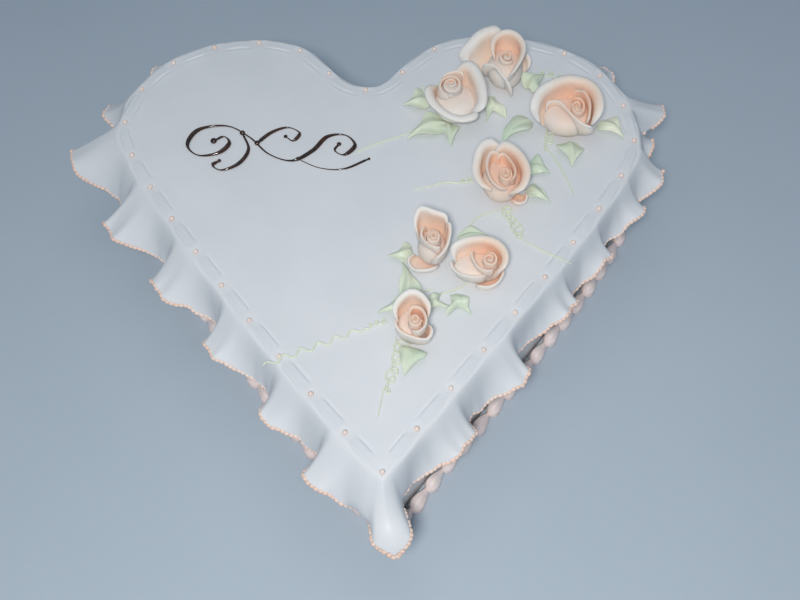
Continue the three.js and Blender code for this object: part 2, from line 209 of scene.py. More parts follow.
def trace_edge():
    """The whole top edge as fine points, and the length run to each of them."""
    curves = half_edge(**RIGHT_HALF)
    curves += [curve[::-1] for curve in reversed(half_edge(**LEFT_HALF))]
    steps = np.linspace(0, 1, 600, endpoint=False)
    points = np.concatenate([bezier(curve, steps) for curve in curves] + [[HEART_TIP]])
    run = np.concatenate([[0], np.cumsum(np.hypot(*np.diff(points, axis=0).T))])
    return points, run


EDGE_POINTS, EDGE_RUN = trace_edge()
EDGE_LENGTH = EDGE_RUN[-1]


def edge_point(distance):
    place = np.mod(distance, EDGE_LENGTH)
    return np.stack([np.interp(place, EDGE_RUN, EDGE_POINTS[:, axis]) for axis in (0, 1)], -1)


def outward(distance, reach):
    """The direction square to the edge, averaged over a reach along it."""
    total = np.zeros(np.shape(distance) + (2,))
    for k in range(-4, 5):
        middle = np.asarray(distance) + k / 4 * reach
        chord = edge_point(middle + reach / 8) - edge_point(middle - reach / 8)
        length = np.linalg.norm(chord, axis=-1, keepdims=True)
        square = np.stack([chord[..., 1], -chord[..., 0]], -1)
        total += (1.2 - abs(k / 4)) * square / length
    return total / np.linalg.norm(total, axis=-1, keepdims=True)


def beside_edge(distance, out, height, reach):
    """Points out from the edge, square to it, at a height above the table, in metres."""
    flat = edge_point(distance) + outward(distance, reach) * np.asarray(out)[..., None] - CENTRE
    place = np.mod(distance, EDGE_LENGTH)
    from_tip = np.minimum(place, EDGE_LENGTH - place)
    free = np.clip((np.asarray(out) - LEAN_START) / LEAN_RUN, 0, 1)
    flat[..., 0] += TIP_LEAN * np.exp(-(from_tip / LEAN_WIDTH) ** 2) * free ** 1.5
    height = np.broadcast_to(np.asarray(height, float), np.shape(distance))
    return np.concatenate([flat, height[..., None]], -1) * MM


def deselect():
    if bpy.context.object and bpy.context.object.mode != "OBJECT":
        bpy.ops.object.mode_set(mode="OBJECT")
    bpy.ops.object.select_all(action="DESELECT")


def select_only(piece):
    deselect()
    piece.select_set(True)
    bpy.context.view_layer.objects.active = piece


def loft(name, rings):
    """Extrudes a circle of points ring by ring, closes both ends and puts each ring in place."""
    deselect()
    bpy.ops.mesh.primitive_circle_add(vertices=len(rings[0]), radius=1, fill_type="NGON")
    piece = bpy.context.object
    piece.name = name
    bpy.ops.object.mode_set(mode="EDIT")
    bpy.ops.mesh.select_all(action="SELECT")
    for _ in rings[1:]:
        bpy.ops.mesh.extrude_region()
    bpy.ops.object.mode_set(mode="OBJECT")
    place_points(piece, np.concatenate(rings))
    face_outward(piece)
    return piece


def place_points(piece, points):
    piece.data.vertices.foreach_set("co", np.asarray(points, np.float32).ravel())
    piece.data.update()


def points_of(piece):
    flat = np.zeros(len(piece.data.vertices) * 3)
    piece.data.vertices.foreach_get("co", flat)
    return flat.reshape(-1, 3)


def face_outward(piece):
    select_only(piece)
    bpy.ops.object.mode_set(mode="EDIT")
    bpy.ops.mesh.select_all(action="SELECT")
    bpy.ops.mesh.normals_make_consistent(inside=False)
    bpy.ops.object.mode_set(mode="OBJECT")


def finish_piece(piece, material, slot, *nodes, smooth_angle=60):
    """Smooths a finished piece, gives it its material, hangs it from the root and hides the model parts
    that it takes the place of; its slot is not used.
    """
    select_only(piece)
    bpy.ops.object.transform_apply(location=True, rotation=True, scale=True)
    bpy.ops.object.shade_smooth_by_angle(angle=math.radians(smooth_angle))
    piece.data.name = piece.name
    piece.data.materials.clear()
    piece.data.materials.append(material)
    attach(piece, "root")
    if nodes:
        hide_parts(*nodes)


WALL_STATIONS = 480
WALL_TOP = TOP_HEIGHT - SHEET_THICKNESS - PIECE_GAP


def make_cake_body():
    distance = np.arange(WALL_STATIONS) / WALL_STATIONS * EDGE_LENGTH
    sweep = 0.16 * np.sin(distance / 11.0) + 0.12 * np.sin(distance / 4.7 + 1.3)
    # Height and how far in from the wall: the foot and the shoulder are softly rounded.
    profile = [(0, 0.8), (0.5, 0.3), (1.2, 0)] + [(z, 0) for z in (12, 24, 36, 48, 58)]
    profile += [(WALL_TOP - 1.6, 0.1), (WALL_TOP - 0.5, 0.6), (WALL_TOP, 1.8)]
    rings = []
    for height, inset in profile:
        soft = sweep * math.sin(math.pi * height / WALL_TOP)
        rings.append(beside_edge(distance, -BODY_INSET - inset + np.minimum(soft, 0), height, 8))
    return loft("cake_body_iced", rings)


def math_node(tree, operation, second):
    """A math node whose second value is fixed."""
    made = tree.nodes.new("ShaderNodeMath")
    made.operation = operation
    made.inputs[1].default_value = second
    return made


def icing_relief_group():
    """Rolled icing's faint relief: soft waves from the rolling pin, fine sugar grain, tiny pits."""
    group = bpy.data.node_groups.new("rolled_icing_relief", "ShaderNodeTree")
    face = group.interface
    face.new_socket("Vector", in_out="INPUT", socket_type="NodeSocketVector")
    for name, side in (("Grain Size", "INPUT"), ("Mottle", "OUTPUT"), ("Height", "OUTPUT")):
        face.new_socket(name, in_out=side, socket_type="NodeSocketFloat")
    entry = group.nodes.new("NodeGroupInput")
    leave = group.nodes.new("NodeGroupOutput")
    waves = node(group, "ShaderNodeTexNoise", Scale=28.0, Detail=3.0, Roughness=0.5)
    grain = node(group, "ShaderNodeTexNoise", Detail=3.0, Roughness=0.6)
    pits = node(group, "ShaderNodeTexVoronoi")
    pit_size = math_node(group, "MULTIPLY", 0.45)
    pit_mask = node(group, "ShaderNodeMapRange", From_Min=0.0, From_Max=0.18, To_Min=-1.0, To_Max=0.0)
    with_grain = math_node(group, "MULTIPLY_ADD", 0.35)
    with_pits = math_node(group, "MULTIPLY_ADD", 0.25)
    wire(group, *((entry, "Vector", texture, "Vector") for texture in (waves, grain, pits)))
    wire(group, (entry, "Grain Size", grain, "Scale"), (entry, "Grain Size", pit_size, 0),
         (pit_size, 0, pits, "Scale"), (pits, "Distance", pit_mask, "Value"),
         (grain, "Fac", with_grain, 0), (waves, "Fac", with_grain, 2),
         (pit_mask, "Result", with_pits, 0), (with_grain, 0, with_pits, 2),
         (waves, "Fac", leave, "Mottle"), (with_pits, 0, leave, "Height"))
    return group


RELIEF = icing_relief_group()


def relief_node(tree, place, grain):
    relief = tree.nodes.new("ShaderNodeGroup")
    relief.node_tree = RELIEF
    wire(tree, (place, "Object", relief, "Vector"))
    return set_inputs(relief, Grain_Size=grain)


def icing_material(name, dark, light, grain=900.0, roughness=(0.38, 0.5), depth=0.00012,
                   milky=0.12):
    """Sugar icing: two close tones mottled together, fine grain, a little light let through."""
    material, tree, shader = new_material(name)
    place = node(tree, "ShaderNodeTexCoord")
    relief = relief_node(tree, place, grain)
    tone = colour_ramp(tree, (0.3, dark), (0.7, light))
    shine = node(tree, "ShaderNodeMapRange", To_Min=roughness[0], To_Max=roughness[1])
    bump = node(tree, "ShaderNodeBump", Strength=0.5, Distance=depth)
    wire(tree, (relief, "Mottle", tone, "Fac"), (tone, "Color", shader, "Base Color"),
         (relief, "Mottle", shine, "Value"), (shine, "Result", shader, "Roughness"),
         (relief, "Height", bump, "Height"), (bump, "Normal", shader, "Normal"))
    set_inputs(shader, Subsurface_Weight=milky, Subsurface_Radius=(1.0, 0.85, 0.7),
               Subsurface_Scale=0.0018, Specular_IOR_Level=0.35)
    return material


# The wall's icing is the same white as the top's. The greyer, darker tone given here is painted shade
# for the shade it stands in under the hem.
SHADE_PAINTED_WALL_ICING = icing_material("wall_icing_painted_shade", (0.70, 0.72, 0.72), (0.78, 0.80, 0.80), grain=500.0,
                                 roughness=(0.5, 0.62), depth=0.0003)
finish_piece(make_cake_body(), SHADE_PAINTED_WALL_ICING, "cake", "cake_body")


# Shell border.
# Pink-peach shells piped round the foot with a star tube, each one swelling against the wall and
# pulled away to a tail that the next one covers. They meet at the point and at the cleft.

SHELL_COUNT = 66
SHELL_REACH = 7.6
SHELL_HEIGHT = 8.4
SHELL_FLUTES = 7
SHELL_FLUTE_DEPTH = 0.09
SHELL_FOOT = -0.55
SHELL_OVERLAP = 0.35


def ball(segments, rings, turn=0.0):
    """A ball of unit size to shape further, its poles turned from Z by an angle about Y."""
    deselect()
    bpy.ops.mesh.primitive_uv_sphere_add(segments=segments, ring_count=rings, rotation=(0, turn, 0))
    bpy.ops.object.transform_apply(rotation=True)
    return bpy.context.object


def shell_form():
    """One shell along X from bulb (-1) to tail (1), flat underneath, as points of unit size."""
    shell = ball(28, 16, math.pi / 2)
    x, y, z = points_of(shell).T
    round_x = np.clip(x, -1, 1)
    ring = np.sqrt(np.maximum(1 - round_x ** 2, 0))
    around = np.arctan2(z, y)
    along = (round_x + 1) / 2
    # Fullest a quarter of the way along, then drawn out thin.
    girth = np.interp(along, [0, 0.04, 0.12, 0.28, 0.5, 0.75, 0.92, 1],
                      [0, 0.42, 0.78, 1.0, 0.86, 0.52, 0.26, 0])
    flutes = 1 - SHELL_FLUTE_DEPTH * (0.5 + 0.5 * np.cos(SHELL_FLUTES * around + 1.1 * along))
    girth = np.where(ring > 1e-4, girth * flutes, 0)
    y = girth * np.cos(around)
    z = girth * np.sin(around)
    z = np.where(z < SHELL_FOOT, SHELL_FOOT + 0.15 * (z - SHELL_FOOT), z)
    place_points(shell, np.stack([round_x, y, z], -1))
    return shell


def copy_mapped(source, place):
    """A copy of a piece, with its own mesh, each point moved by a function."""
    made = source.copy()
    made.data = source.data.copy()
    bpy.context.collection.objects.link(made)
    place_points(made, place(points_of(source)))
    return made


def join_pieces(pieces, name):
    deselect()
    for piece in pieces:
        piece.select_set(True)
    bpy.context.view_layer.objects.active = pieces[0]
    if len(pieces) > 1:
        bpy.ops.object.join()
    pieces[0].name = name
    return pieces[0]


def remove_piece(piece):
    mesh = piece.data
    bpy.data.objects.remove(piece)
    bpy.data.meshes.remove(mesh)


def make_shells():
    chance = random.Random(21)
    pitch = EDGE_LENGTH / SHELL_COUNT
    inside = -BODY_INSET + SHELL_OVERLAP
    form = shell_form()
    shells = []
    for i in range(SHELL_COUNT):
        on_right = i < SHELL_COUNT / 2
        direction = 1 if on_right else -1
        start = (i if on_right else i + 1) * pitch
        tall = SHELL_HEIGHT * chance.uniform(0.92, 1.03)
        reach = SHELL_REACH * chance.uniform(0.93, 1.0)
        half_wide = (reach - inside) / 2
        length = pitch * chance.uniform(1.12, 1.2)
        lift = chance.uniform(-0.1, 0.15)

        def onto_foot(points):
            x, y, z = points.T
            along = (x + 1) / 2
            distance = start + direction * (along * length + 0.4)
            out = inside + half_wide + y * half_wide - 0.22 * half_wide * along
            height = (z - SHELL_FOOT) / 1.5 * tall * (1 + lift * along)
            return beside_edge(distance, out, np.maximum(height, 0.02), 8)

        shells.append(copy_mapped(form, onto_foot))
    remove_piece(form)
    return join_pieces(shells, "shell_border_piped")


shell_border = make_shells()
face_outward(shell_border)
SHELL_ICING = icing_material("shell_icing", (0.94, 0.76, 0.725), (0.97, 0.84, 0.81), grain=1300.0,
                             roughness=(0.32, 0.45), depth=0.00015, milky=0.2)
finish_piece(shell_border, SHELL_ICING, "shell_icing", "shell_border")


# Icing sheet.
# One sheet of white rolled icing laid over the cake. Its hem is worked into ruffles that reach
# out between deep folds. The ribbon strips and beads press shallow creases into the top edge.

# Each ruffle: distance along the edge, reach and drop, then how far out the fold after it stays
# and where that fold begins and ends, as shares of the way to the next ruffle.
RUFFLES = [
    (0, 30.2, 15, 6.5, 0.12, 0.26), (42, 16.5, 15, 8.5, 0.2, 0.4), (80, 18.5, 15, 6, 0.21, 0.34),
    (125, 14.5, 15, 8.5, 0.2, 0.34), (155, 14, 14, 6.5, 0.24, 0.4), (187, 15, 14, 9, 0.3, 0.42),
    (206, 17, 13, 8, 0.42, 0.58), (221, 13, 13, 8, 0.42, 0.58), (239, 25, 12, 8, 0.42, 0.58),
    (270, 18, 15, 8, 0.42, 0.58), (301, 16, 17, 7, 0.42, 0.58), (332, 14, 19, 7, 0.42, 0.58),
    (361, 11, 22, 7, 0.42, 0.58), (390, 8, 25, 7, 0.42, 0.58), (434, 9, 25, 7, 0.42, 0.58),
    (464, 12, 22, 7, 0.42, 0.58), (494, 15, 18, 8, 0.42, 0.58), (525, 18, 15, 8, 0.42, 0.58),
    (555, 21, 14, 8, 0.42, 0.58), (576, 30.5, 14, 13.8, 0.54, 0.76), (617, 26.5, 15, 11, 0.64, 0.8),
    (658, 22.5, 15, 8.5, 0.7, 0.82), (702, 20, 15, 9.5, 0.64, 0.82), (747, 19.5, 15, 10.5, 0.62, 0.8),
    (783.5, 22, 15, 14.5, 0.7, 0.84),
]
FRONT_STRETCH = 235
STEEP_SHARE = 0.18
GENTLE_SHARE = 0.5
EVEN_SHARE = 0.36
TIP_NARROWING = 0.45
FOLD_DROP = 24
FOLD_ANGLE = 82
RUFFLE_ANGLE = 22
TIP_RUFFLE_ANGLE = -9
TIP_RUFFLE_CURVE = 15
FLAT_RIM = 2
SHOULDER = 3.6
HEM_CURVE = 9
HEM_THICKNESS = 1.7
HEM_BULGE = 0.35
NORMAL_REACH = 16
SHEET_STATIONS = 880
EDGE_SHARE = 0.6

# Rings of the flat top: from its middle in shares, then near the edge at an even spacing. Those
# further in than the tip ring close up where the heart comes to its point.
MIDDLE_SHARES = (0.004, 0.04, 0.1, 0.18, 0.27, 0.36, 0.45, 0.54, 0.63, 0.72, 0.8, 0.87, 0.93, 0.97)
TOP_RINGS = np.arange(-5.4, 1.9, 0.38)
TIP_RING = -3
TIP_ROOM = 7
POINT_REACH = 9
POINT_PASSES = 130

# The ribbon strips lie in creases, each with a low ridge beside it, and the beads in dents.
STRIP_COUNT = 34
STRIP_LENGTH = 18.6
STRIP_WIDTH = 5.6
STRIP_OFFSET = -0.4
TIP_MARGIN = 6.5
STRIP_PITCH = EDGE_LENGTH / STRIP_COUNT
CREASE_DEPTH = 0.4
CREASE_PLACE = 0.2
CREASE_WIDTH = 0.38
CREASE_MARGIN = 3.0
RIDGE_HEIGHT = 0.14
RIDGE_PLACE = 1.5
RIDGE_WIDTH = 0.9
BEAD_DENT = 0.5
DENT_WIDTH = 2.1


def mix(a, b, share):
    return a + (b - a) * share


def smoothstep(value, low, high):
    share = min(max((value - low) / (high - low), 0), 1)
    return share * share * (3 - 2 * share)


def hem_at(distance):
    """Reach, drop, end slope and length of the level end of the hem at one place along the edge."""
    place = distance % EDGE_LENGTH
    last = max(k for k, ruffle in enumerate(RUFFLES) if ruffle[0] <= place)
    here = RUFFLES[last]
    following = RUFFLES[(last + 1) % len(RUFFLES)]
    end = EDGE_LENGTH if last == len(RUFFLES) - 1 else following[0]
    share = (place - here[0]) / (end - here[0])
    fold_reach, fold_from, fold_to = here[3:]
    down, up = EVEN_SHARE, EVEN_SHARE
    if place < FRONT_STRETCH:
        down, up = STEEP_SHARE, GENTLE_SHARE
    elif place > EDGE_LENGTH - FRONT_STRETCH:
        down, up = GENTLE_SHARE, STEEP_SHARE
    leaving = share < (fold_from + fold_to) / 2
    ruffle = here if leaving else following
    if leaving:
        lift = 1 - smoothstep(share, fold_from - down, fold_from)
    else:
        lift = smoothstep(share, fold_to, fold_to + up)
    if ruffle is RUFFLES[0]:
        # The tip ruffle is a tongue that narrows to a point between two steep sides.
        aside = min(1, share / fold_from if leaving else (1 - share) / (1 - fold_to))
        lift = (1 - TIP_NARROWING * aside ** 0.6) * (1 - smoothstep(aside, 0.55, 1))
    free_angle, free_curve = RUFFLE_ANGLE, HEM_CURVE
    if ruffle is RUFFLES[0]:
        free_angle, free_curve = TIP_RUFFLE_ANGLE, TIP_RUFFLE_CURVE
    reach = mix(min(fold_reach, ruffle[1]), ruffle[1], lift)
    drop = mix(max(FOLD_DROP, ruffle[2]), ruffle[2], lift)
    slope = math.radians(mix(FOLD_ANGLE, free_angle, lift))
    return reach, drop, slope, mix(HEM_CURVE, free_curve, lift)


def hem_ripple(distance):
    """Small uneven ripples that the fingers leave in the hem, outwards and upwards."""
    turn = distance / EDGE_LENGTH * 2 * math.pi
    out = 0.42 * np.sin(57 * turn + 0.6) + 0.3 * np.sin(83 * turn + 2.1) + 0.2 * np.sin(131 * turn)
    rise = 0.5 * np.sin(49 * turn + 1.2) + 0.3 * np.sin(91 * turn + 0.4) + 0.15 * np.sin(140 * turn)
    return out, rise


def strip_ends(index):
    """Where a ribbon strip goes into the icing and comes out, as distances along the edge."""
    spare = (STRIP_PITCH - STRIP_LENGTH) / 2
    start = index * STRIP_PITCH + (TIP_MARGIN if index == 0 else spare)
    end = (index + 1) * STRIP_PITCH - (TIP_MARGIN if index == STRIP_COUNT - 1 else spare)
    return start, end


def sheet_places():
    """Stations along the edge, spaced more by the length of the hem than by that of the edge."""
    places = np.arange(0, EDGE_LENGTH, 0.5)
    hem = np.array([hem_at(place)[:2] for place in places])
    line = beside_edge(places, hem[:, 0], -hem[:, 1], NORMAL_REACH) / MM
    steps = np.linalg.norm(np.diff(np.concatenate([line, line[:1]]), axis=0), axis=1)
    strides = np.diff(np.append(places, EDGE_LENGTH))
    run = np.concatenate([[0], np.cumsum(steps + EDGE_SHARE * strides)])
    wanted = np.arange(SHEET_STATIONS) / SHEET_STATIONS * run[-1]
    return np.interp(wanted, run, np.append(places, EDGE_LENGTH))


def crease_depth(distance, out):
    """How deep the icing is pressed in along the sides of the strips and around the beads."""
    depth = np.zeros(np.shape(distance))
    for index in range(STRIP_COUNT):
        start, end = strip_ends(index)
        middle = (start + end) / 2
        half = (end - start) / 2
        along = np.abs((distance - middle + EDGE_LENGTH / 2) % EDGE_LENGTH - EDGE_LENGTH / 2)
        beside = np.abs(out - STRIP_OFFSET) - STRIP_WIDTH / 2
        fade = 1 / (1 + np.exp((along - half + CREASE_MARGIN) / 1.1))
        depth += CREASE_DEPTH * np.exp(-((beside - CREASE_PLACE) / CREASE_WIDTH) ** 2) * fade
        depth -= RIDGE_HEIGHT * np.exp(-((beside - RIDGE_PLACE) / RIDGE_WIDTH) ** 2) * fade
    beads = np.abs((distance + STRIP_PITCH / 2) % STRIP_PITCH - STRIP_PITCH / 2)
    depth += BEAD_DENT * np.exp(-(beads ** 2 + out ** 2) / DENT_WIDTH ** 2)
    return depth


def hem_sections(distances):
    """Upper face of the sheet outside the flat rim, as rows of (out, height) for each station."""
    steps = np.concatenate([np.linspace(0, 0.5, 12)[:-1], np.linspace(0.5, 1, 15)])
    outs, rises, slopes = [], [], []
    ripple_out, ripple_rise = hem_ripple(distances)
    for k, distance in enumerate(distances):
        reach, drop, slope, level = hem_at(distance)
        curve = [
            (FLAT_RIM, 0), (FLAT_RIM + SHOULDER, 0),
            (reach - level * math.cos(slope), -drop + level * math.sin(slope)),
            (reach, -drop),
        ]
        points = bezier(curve, steps)
        ahead = bezier(curve, np.minimum(steps + 0.01, 1)) - bezier(curve, np.maximum(steps - 0.01, 0))
        free = steps ** 3
        outs.append(points[:, 0] + free * ripple_out[k])
        rises.append(points[:, 1] + free * ripple_rise[k])
        slopes.append(ahead / np.linalg.norm(ahead, axis=1, keepdims=True))
    outs = soften_point(np.array(outs).T, distances)
    rises = soften_point(np.array(rises).T, distances)
    return outs, rises, np.array(slopes).transpose(1, 0, 2)


def soften_point(rows, distances):
    """Evens out the sections beside the point of the heart, all but the hem itself."""
    from_tip = np.minimum(distances, EDGE_LENGTH - distances)
    near = np.exp(-(from_tip / POINT_REACH) ** 4)
    for k, row in enumerate(rows):
        share = near * (1 - (k / (len(rows) - 1)) ** 2.5)
        for _ in range(POINT_PASSES):
            row += share * ((np.roll(row, 1) + np.roll(row, -1)) / 2 - row)
    return rows


def top_sag(points):
    """The top is not quite flat: a soft swell that the rolling pin and the cake leave in it."""
    x, y = points[..., 0] / MM, points[..., 1] / MM
    return 0.22 * np.sin(x / 31 + 0.8) * np.sin(y / 37 + 0.3) + 0.1 * np.sin(x / 13 + y / 17)


def make_sheet():
    distances = sheet_places()
    rows = []
    # The flat top, from its middle out to where the creases begin.
    from_tip = np.minimum(distances, EDGE_LENGTH - distances)
    room = 1 - np.exp(-(from_tip / TIP_ROOM) ** 2)
    rings = [np.where(out < TIP_RING, TIP_RING + (out - TIP_RING) * room, out) for out in TOP_RINGS]
    inner = beside_edge(distances, rings[0], TOP_HEIGHT, NORMAL_REACH)
    middle = (np.array([0, 12, TOP_HEIGHT]) - [*CENTRE, 0]) * MM
    for share in MIDDLE_SHARES:
        rows.append(middle + (inner - middle) * share)
    for out in rings:
        depth = crease_depth(distances, out)
        rows.append(beside_edge(distances, out, TOP_HEIGHT - depth, NORMAL_REACH))
    for row in rows:
        row[:, 2] += top_sag(row) * MM
    outs, rises, slopes = hem_sections(distances)
    edge_sag = top_sag(rows[-1]) * MM
    upper = []
    for k in range(len(outs)):
        depth = crease_depth(distances, outs[k]) * (outs[k] < 6)
        row = beside_edge(distances, outs[k], TOP_HEIGHT + rises[k] - depth, NORMAL_REACH)
        row[:, 2] += edge_sag * (1 - k / (len(outs) - 1))
        upper.append(row)

    def under_face(k, thick, bulge=0.0):
        """A ring of the under side: square in from the upper face, and moved out by the bulge."""
        ahead, down = slopes[k].T
        out = outs[k] + down * thick + ahead * bulge
        height = TOP_HEIGHT + rises[k] - ahead * thick + down * bulge
        return beside_edge(distances, out, height, NORMAL_REACH)

    # Round the cut edge, which is pressed thin, and back along the under side.
    lower = [under_face(-1, HEM_THICKNESS / 2, HEM_BULGE), under_face(-1, HEM_THICKNESS)]
    for k in range(len(outs) - 3, -1, -2):
        lower.append(under_face(k, mix(SHEET_THICKNESS, HEM_THICKNESS, (k / (len(outs) - 1)) ** 4)))
    under = beside_edge(distances, np.full(SHEET_STATIONS, -4.0), TOP_HEIGHT - SHEET_THICKNESS,
                        NORMAL_REACH)
    lower.append(under)
    low_middle = middle - np.array([0, 0, SHEET_THICKNESS * MM])
    lower.append(low_middle + (under - low_middle) * 0.004)
    return loft("icing_sheet_ruffled", rows + upper + lower)


ROLLED_ICING = icing_material("rolled_icing", (0.755, 0.78, 0.805), (0.80, 0.82, 0.845))
finish_piece(make_sheet(), ROLLED_ICING, "rolled_icing", "icing_sheet")


# Beading on the hem.
# A fine peach bead line piped along the cut edge of the sheet, bead against bead, so that the
# whole outline of the ruffles is picked out in colour.

BEAD_PITCH = 2.2
BEAD_RADIUS = 0.98
HEM_STEPS = 6000
BEAD_STEPS = 12
BEAD_SET_DOWN = 0.4
BEAD_STAND_OUT = 0.3


def hem_line():
    """The middle line of the cut edge, and the direction in which the edge faces."""
    distances = np.arange(HEM_STEPS) / HEM_STEPS * EDGE_LENGTH
    ends, faces = [], []
    ripple_out, ripple_rise = hem_ripple(distances)
    for k, distance in enumerate(distances):
        reach, drop, slope, _ = hem_at(distance)
        along = np.array([math.cos(slope), -math.sin(slope)])
        across = np.array([along[1], -along[0]])
        ends.append(np.array([reach + ripple_out[k], -drop + ripple_rise[k]])
                    + across * HEM_THICKNESS * BEAD_SET_DOWN + along * BEAD_STAND_OUT)
        faces.append(along)
    ends, faces = np.array(ends), np.array(faces)
    line = beside_edge(distances, ends[:, 0], TOP_HEIGHT + ends[:, 1], NORMAL_REACH)
    out = outward(distances, NORMAL_REACH)
    facing = np.concatenate([out * faces[:, :1], faces[:, 1:]], 1)
    return line, facing


def make_hem_beads():
    chance = random.Random(5)
    line, facing = hem_line()
    closed = np.concatenate([line, line[:1]])
    run = np.concatenate([[0], np.cumsum(np.linalg.norm(np.diff(closed, axis=0), axis=1))]) / MM
    count = round(run[-1] / BEAD_PITCH)
    form = ball(8, 5, math.pi / 2)
    beads = []
    for i in range(count):
        at = (i + chance.uniform(-0.09, 0.09)) / count * run[-1] % run[-1]
        k = int(np.searchsorted(run, at)) % HEM_STEPS
        centre = line[k]
        along = line[(k + BEAD_STEPS) % HEM_STEPS] - line[k - BEAD_STEPS]
        along /= np.linalg.norm(along)
        face = facing[k] - along * (facing[k] @ along)
        face /= np.linalg.norm(face)
        side = np.cross(along, face)
        long = BEAD_RADIUS * chance.uniform(1.38, 1.6) * MM
        wide = BEAD_RADIUS * chance.uniform(0.92, 1.12) * MM
        thick = wide * 1.2

        def onto_hem(points):
            # A bead is a little slimmer at the end where the tube was drawn on.
            x, y, z = points.T
            slim = 1 - 0.16 * x
            return (centre + np.outer(x * long, along) + np.outer(y * wide * slim, face)
                    + np.outer(z * thick * slim, side))

        beads.append(copy_mapped(form, onto_hem))
    remove_piece(form)
    return join_pieces(beads, "hem_beading")


hem_beading = make_hem_beads()
face_outward(hem_beading)
PEACH_ICING = icing_material("peach_icing", (0.90, 0.61, 0.49), (0.95, 0.74, 0.64), grain=1500.0,
                             roughness=(0.3, 0.42), depth=0.00008, milky=0.25)
finish_piece(hem_beading, PEACH_ICING, "shell_icing", "icing_sheet")


# Ribbon strips.
# Thirty-four short strips of thin white icing, tucked into slits along the top edge so that each
# stands up in a low arch between two beads. Their long sides lie in soft creases.

STRIP_SINK = 0.7
STRIP_RISE = 0.26
STRIP_END_SINK = 0.12
STRIP_HOLLOW = 0.06
RIBBON_ICING = icing_material("ribbon_icing", (0.735, 0.762, 0.79), (0.78, 0.803, 0.832), grain=900.0,
                              roughness=(0.34, 0.46), depth=0.0001)


def strip_form():
    """A block along X, one unit each way, to be rounded and pinched at its ends."""
    deselect()
    bpy.ops.mesh.primitive_cube_add(size=2)
    strip = bpy.context.object
    bpy.ops.object.mode_set(mode="EDIT")
    bpy.ops.mesh.select_all(action="SELECT")
    bpy.ops.mesh.subdivide(number_cuts=15)
    bpy.ops.object.mode_set(mode="OBJECT")
    return strip


def make_strips():
    chance = random.Random(8)
    form = strip_form()
    for index in range(STRIP_COUNT):
        start, end = strip_ends(index)
        start += chance.uniform(-0.3, 0.3)
        end += chance.uniform(-0.3, 0.3)
        tall = STRIP_RISE * chance.uniform(0.86, 1.06)
        wide = STRIP_WIDTH / 2 * chance.uniform(0.95, 1.03)
        bow = chance.uniform(-0.25, 0.25)

        def onto_edge(points):
            x, y, z = points.T
            end_rise = 1 - x ** 2
            distance = mix(start, end, (x + 1) / 2)
            out = STRIP_OFFSET + y * wide + bow * (1 - x ** 2)
            crown = np.sqrt(np.maximum(1 - np.abs(y) ** 7, 0))
            top = (STRIP_SINK - STRIP_END_SINK + (tall + STRIP_END_SINK) * end_rise) * crown
            top -= STRIP_HOLLOW * np.exp(-(y / 0.4) ** 2) * end_rise
            height = np.maximum(mix(0.0, top, (z + 1) / 2), 0)
            places = beside_edge(distance, out, TOP_HEIGHT - STRIP_SINK + height, 6)
            places[:, 2] += top_sag(places) * MM
            return places

        strip = copy_mapped(form, onto_edge)
        strip.name = f"ribbon_strip_{index + 1:02d}"
        finish_piece(strip, RIBBON_ICING, "ribbon_icing", f"ribbon_{index + 1:02d}", smooth_angle=80)
    remove_piece(form)


make_strips()


# Beads of the top edge.
# A small peach pearl of icing is piped in each gap between two strips, with the little peak that
# the tube leaves as it is lifted away.

EDGE_BEAD_RADIUS = 1.2
EDGE_BEAD_LIFT = 0.45
PEAK_HEIGHT = 0.22


def make_edge_beads():
    chance = random.Random(13)
    form = ball(16, 10, math.pi / 2)
    beads = []
    for index in range(STRIP_COUNT):
        at = index * STRIP_PITCH
        centre = beside_edge(np.array([at]), np.array([0.0]), TOP_HEIGHT + EDGE_BEAD_LIFT, 4)[0]
        radius = EDGE_BEAD_RADIUS * chance.uniform(0.9, 1.08) * MM
        lean = np.array([chance.uniform(-0.2, 0.2), chance.uniform(-0.2, 0.2), 0])

        def onto_top(points):
            peak = np.exp(-((1 - points[:, 2]) / 0.22) ** 2) * PEAK_HEIGHT
            moved = points * np.array([1, 1, 0.86])
            moved[:, 2] += peak
            moved += np.outer(np.maximum(points[:, 2], 0), lean)
            return centre + moved * radius

        beads.append(copy_mapped(form, onto_top))
    remove_piece(form)
    return join_pieces(beads, "edge_beads")


edge_beads = make_edge_beads()
PEARL_ICING = icing_material("pearl_icing", (0.90, 0.69, 0.61), (0.94, 0.79, 0.72), grain=1500.0,
                             roughness=(0.2, 0.3), depth=0.00005, milky=0.3)
finish_piece(edge_beads, PEARL_ICING, "shell_icing", "icing_sheet")


# Roses.
# Seven roses of sugar paste. Each is a rolled bud with thick soft petals wrapped round it, their
# lips turned back by hand. Peach in the heart, nearly white on the lips and the outer faces.

PETAL_THICKNESS = 1.35
LIP_START = 0.66
TUCK_START = 0.7
TUCK_IN = 1.5
TUCK_DOWN = 1.3
MOUND_FULLNESS = 0.8
# How peach a petal is in the heart, and how much of it goes outwards, on its outer face and lip.
HEART_BLUSH = 1.02
SPREAD_FADE = 0.75
OUTER_FADE = 0.28
LIP_FADE = 0.36


def smooth_line(points, shares):
    """Points at shares of the length of a smooth line through the given ones, and that length."""
    points = np.array(points, float)
    padded = np.concatenate([[2 * points[0] - points[1]], points, [2 * points[-1] - points[-2]]])
    t = np.linspace(0, 1, 16, endpoint=False)[:, None]
    pieces = []
    for p0, p1, p2, p3 in zip(padded, padded[1:], padded[2:], padded[3:]):
        pieces.append(0.5 * (2 * p1 + (p2 - p0) * t + (2 * p0 - 5 * p1 + 4 * p2 - p3) * t ** 2
                             + (3 * p1 - p0 - 3 * p2 + p3) * t ** 3))
    line = np.concatenate(pieces + [points[-1:]])
    run = np.concatenate([[0], np.cumsum(np.linalg.norm(np.diff(line, axis=0), axis=1))])
    at = np.asarray(shares) * run[-1]
    return np.stack([np.interp(at, run, part) for part in line.T], -1), run[-1]


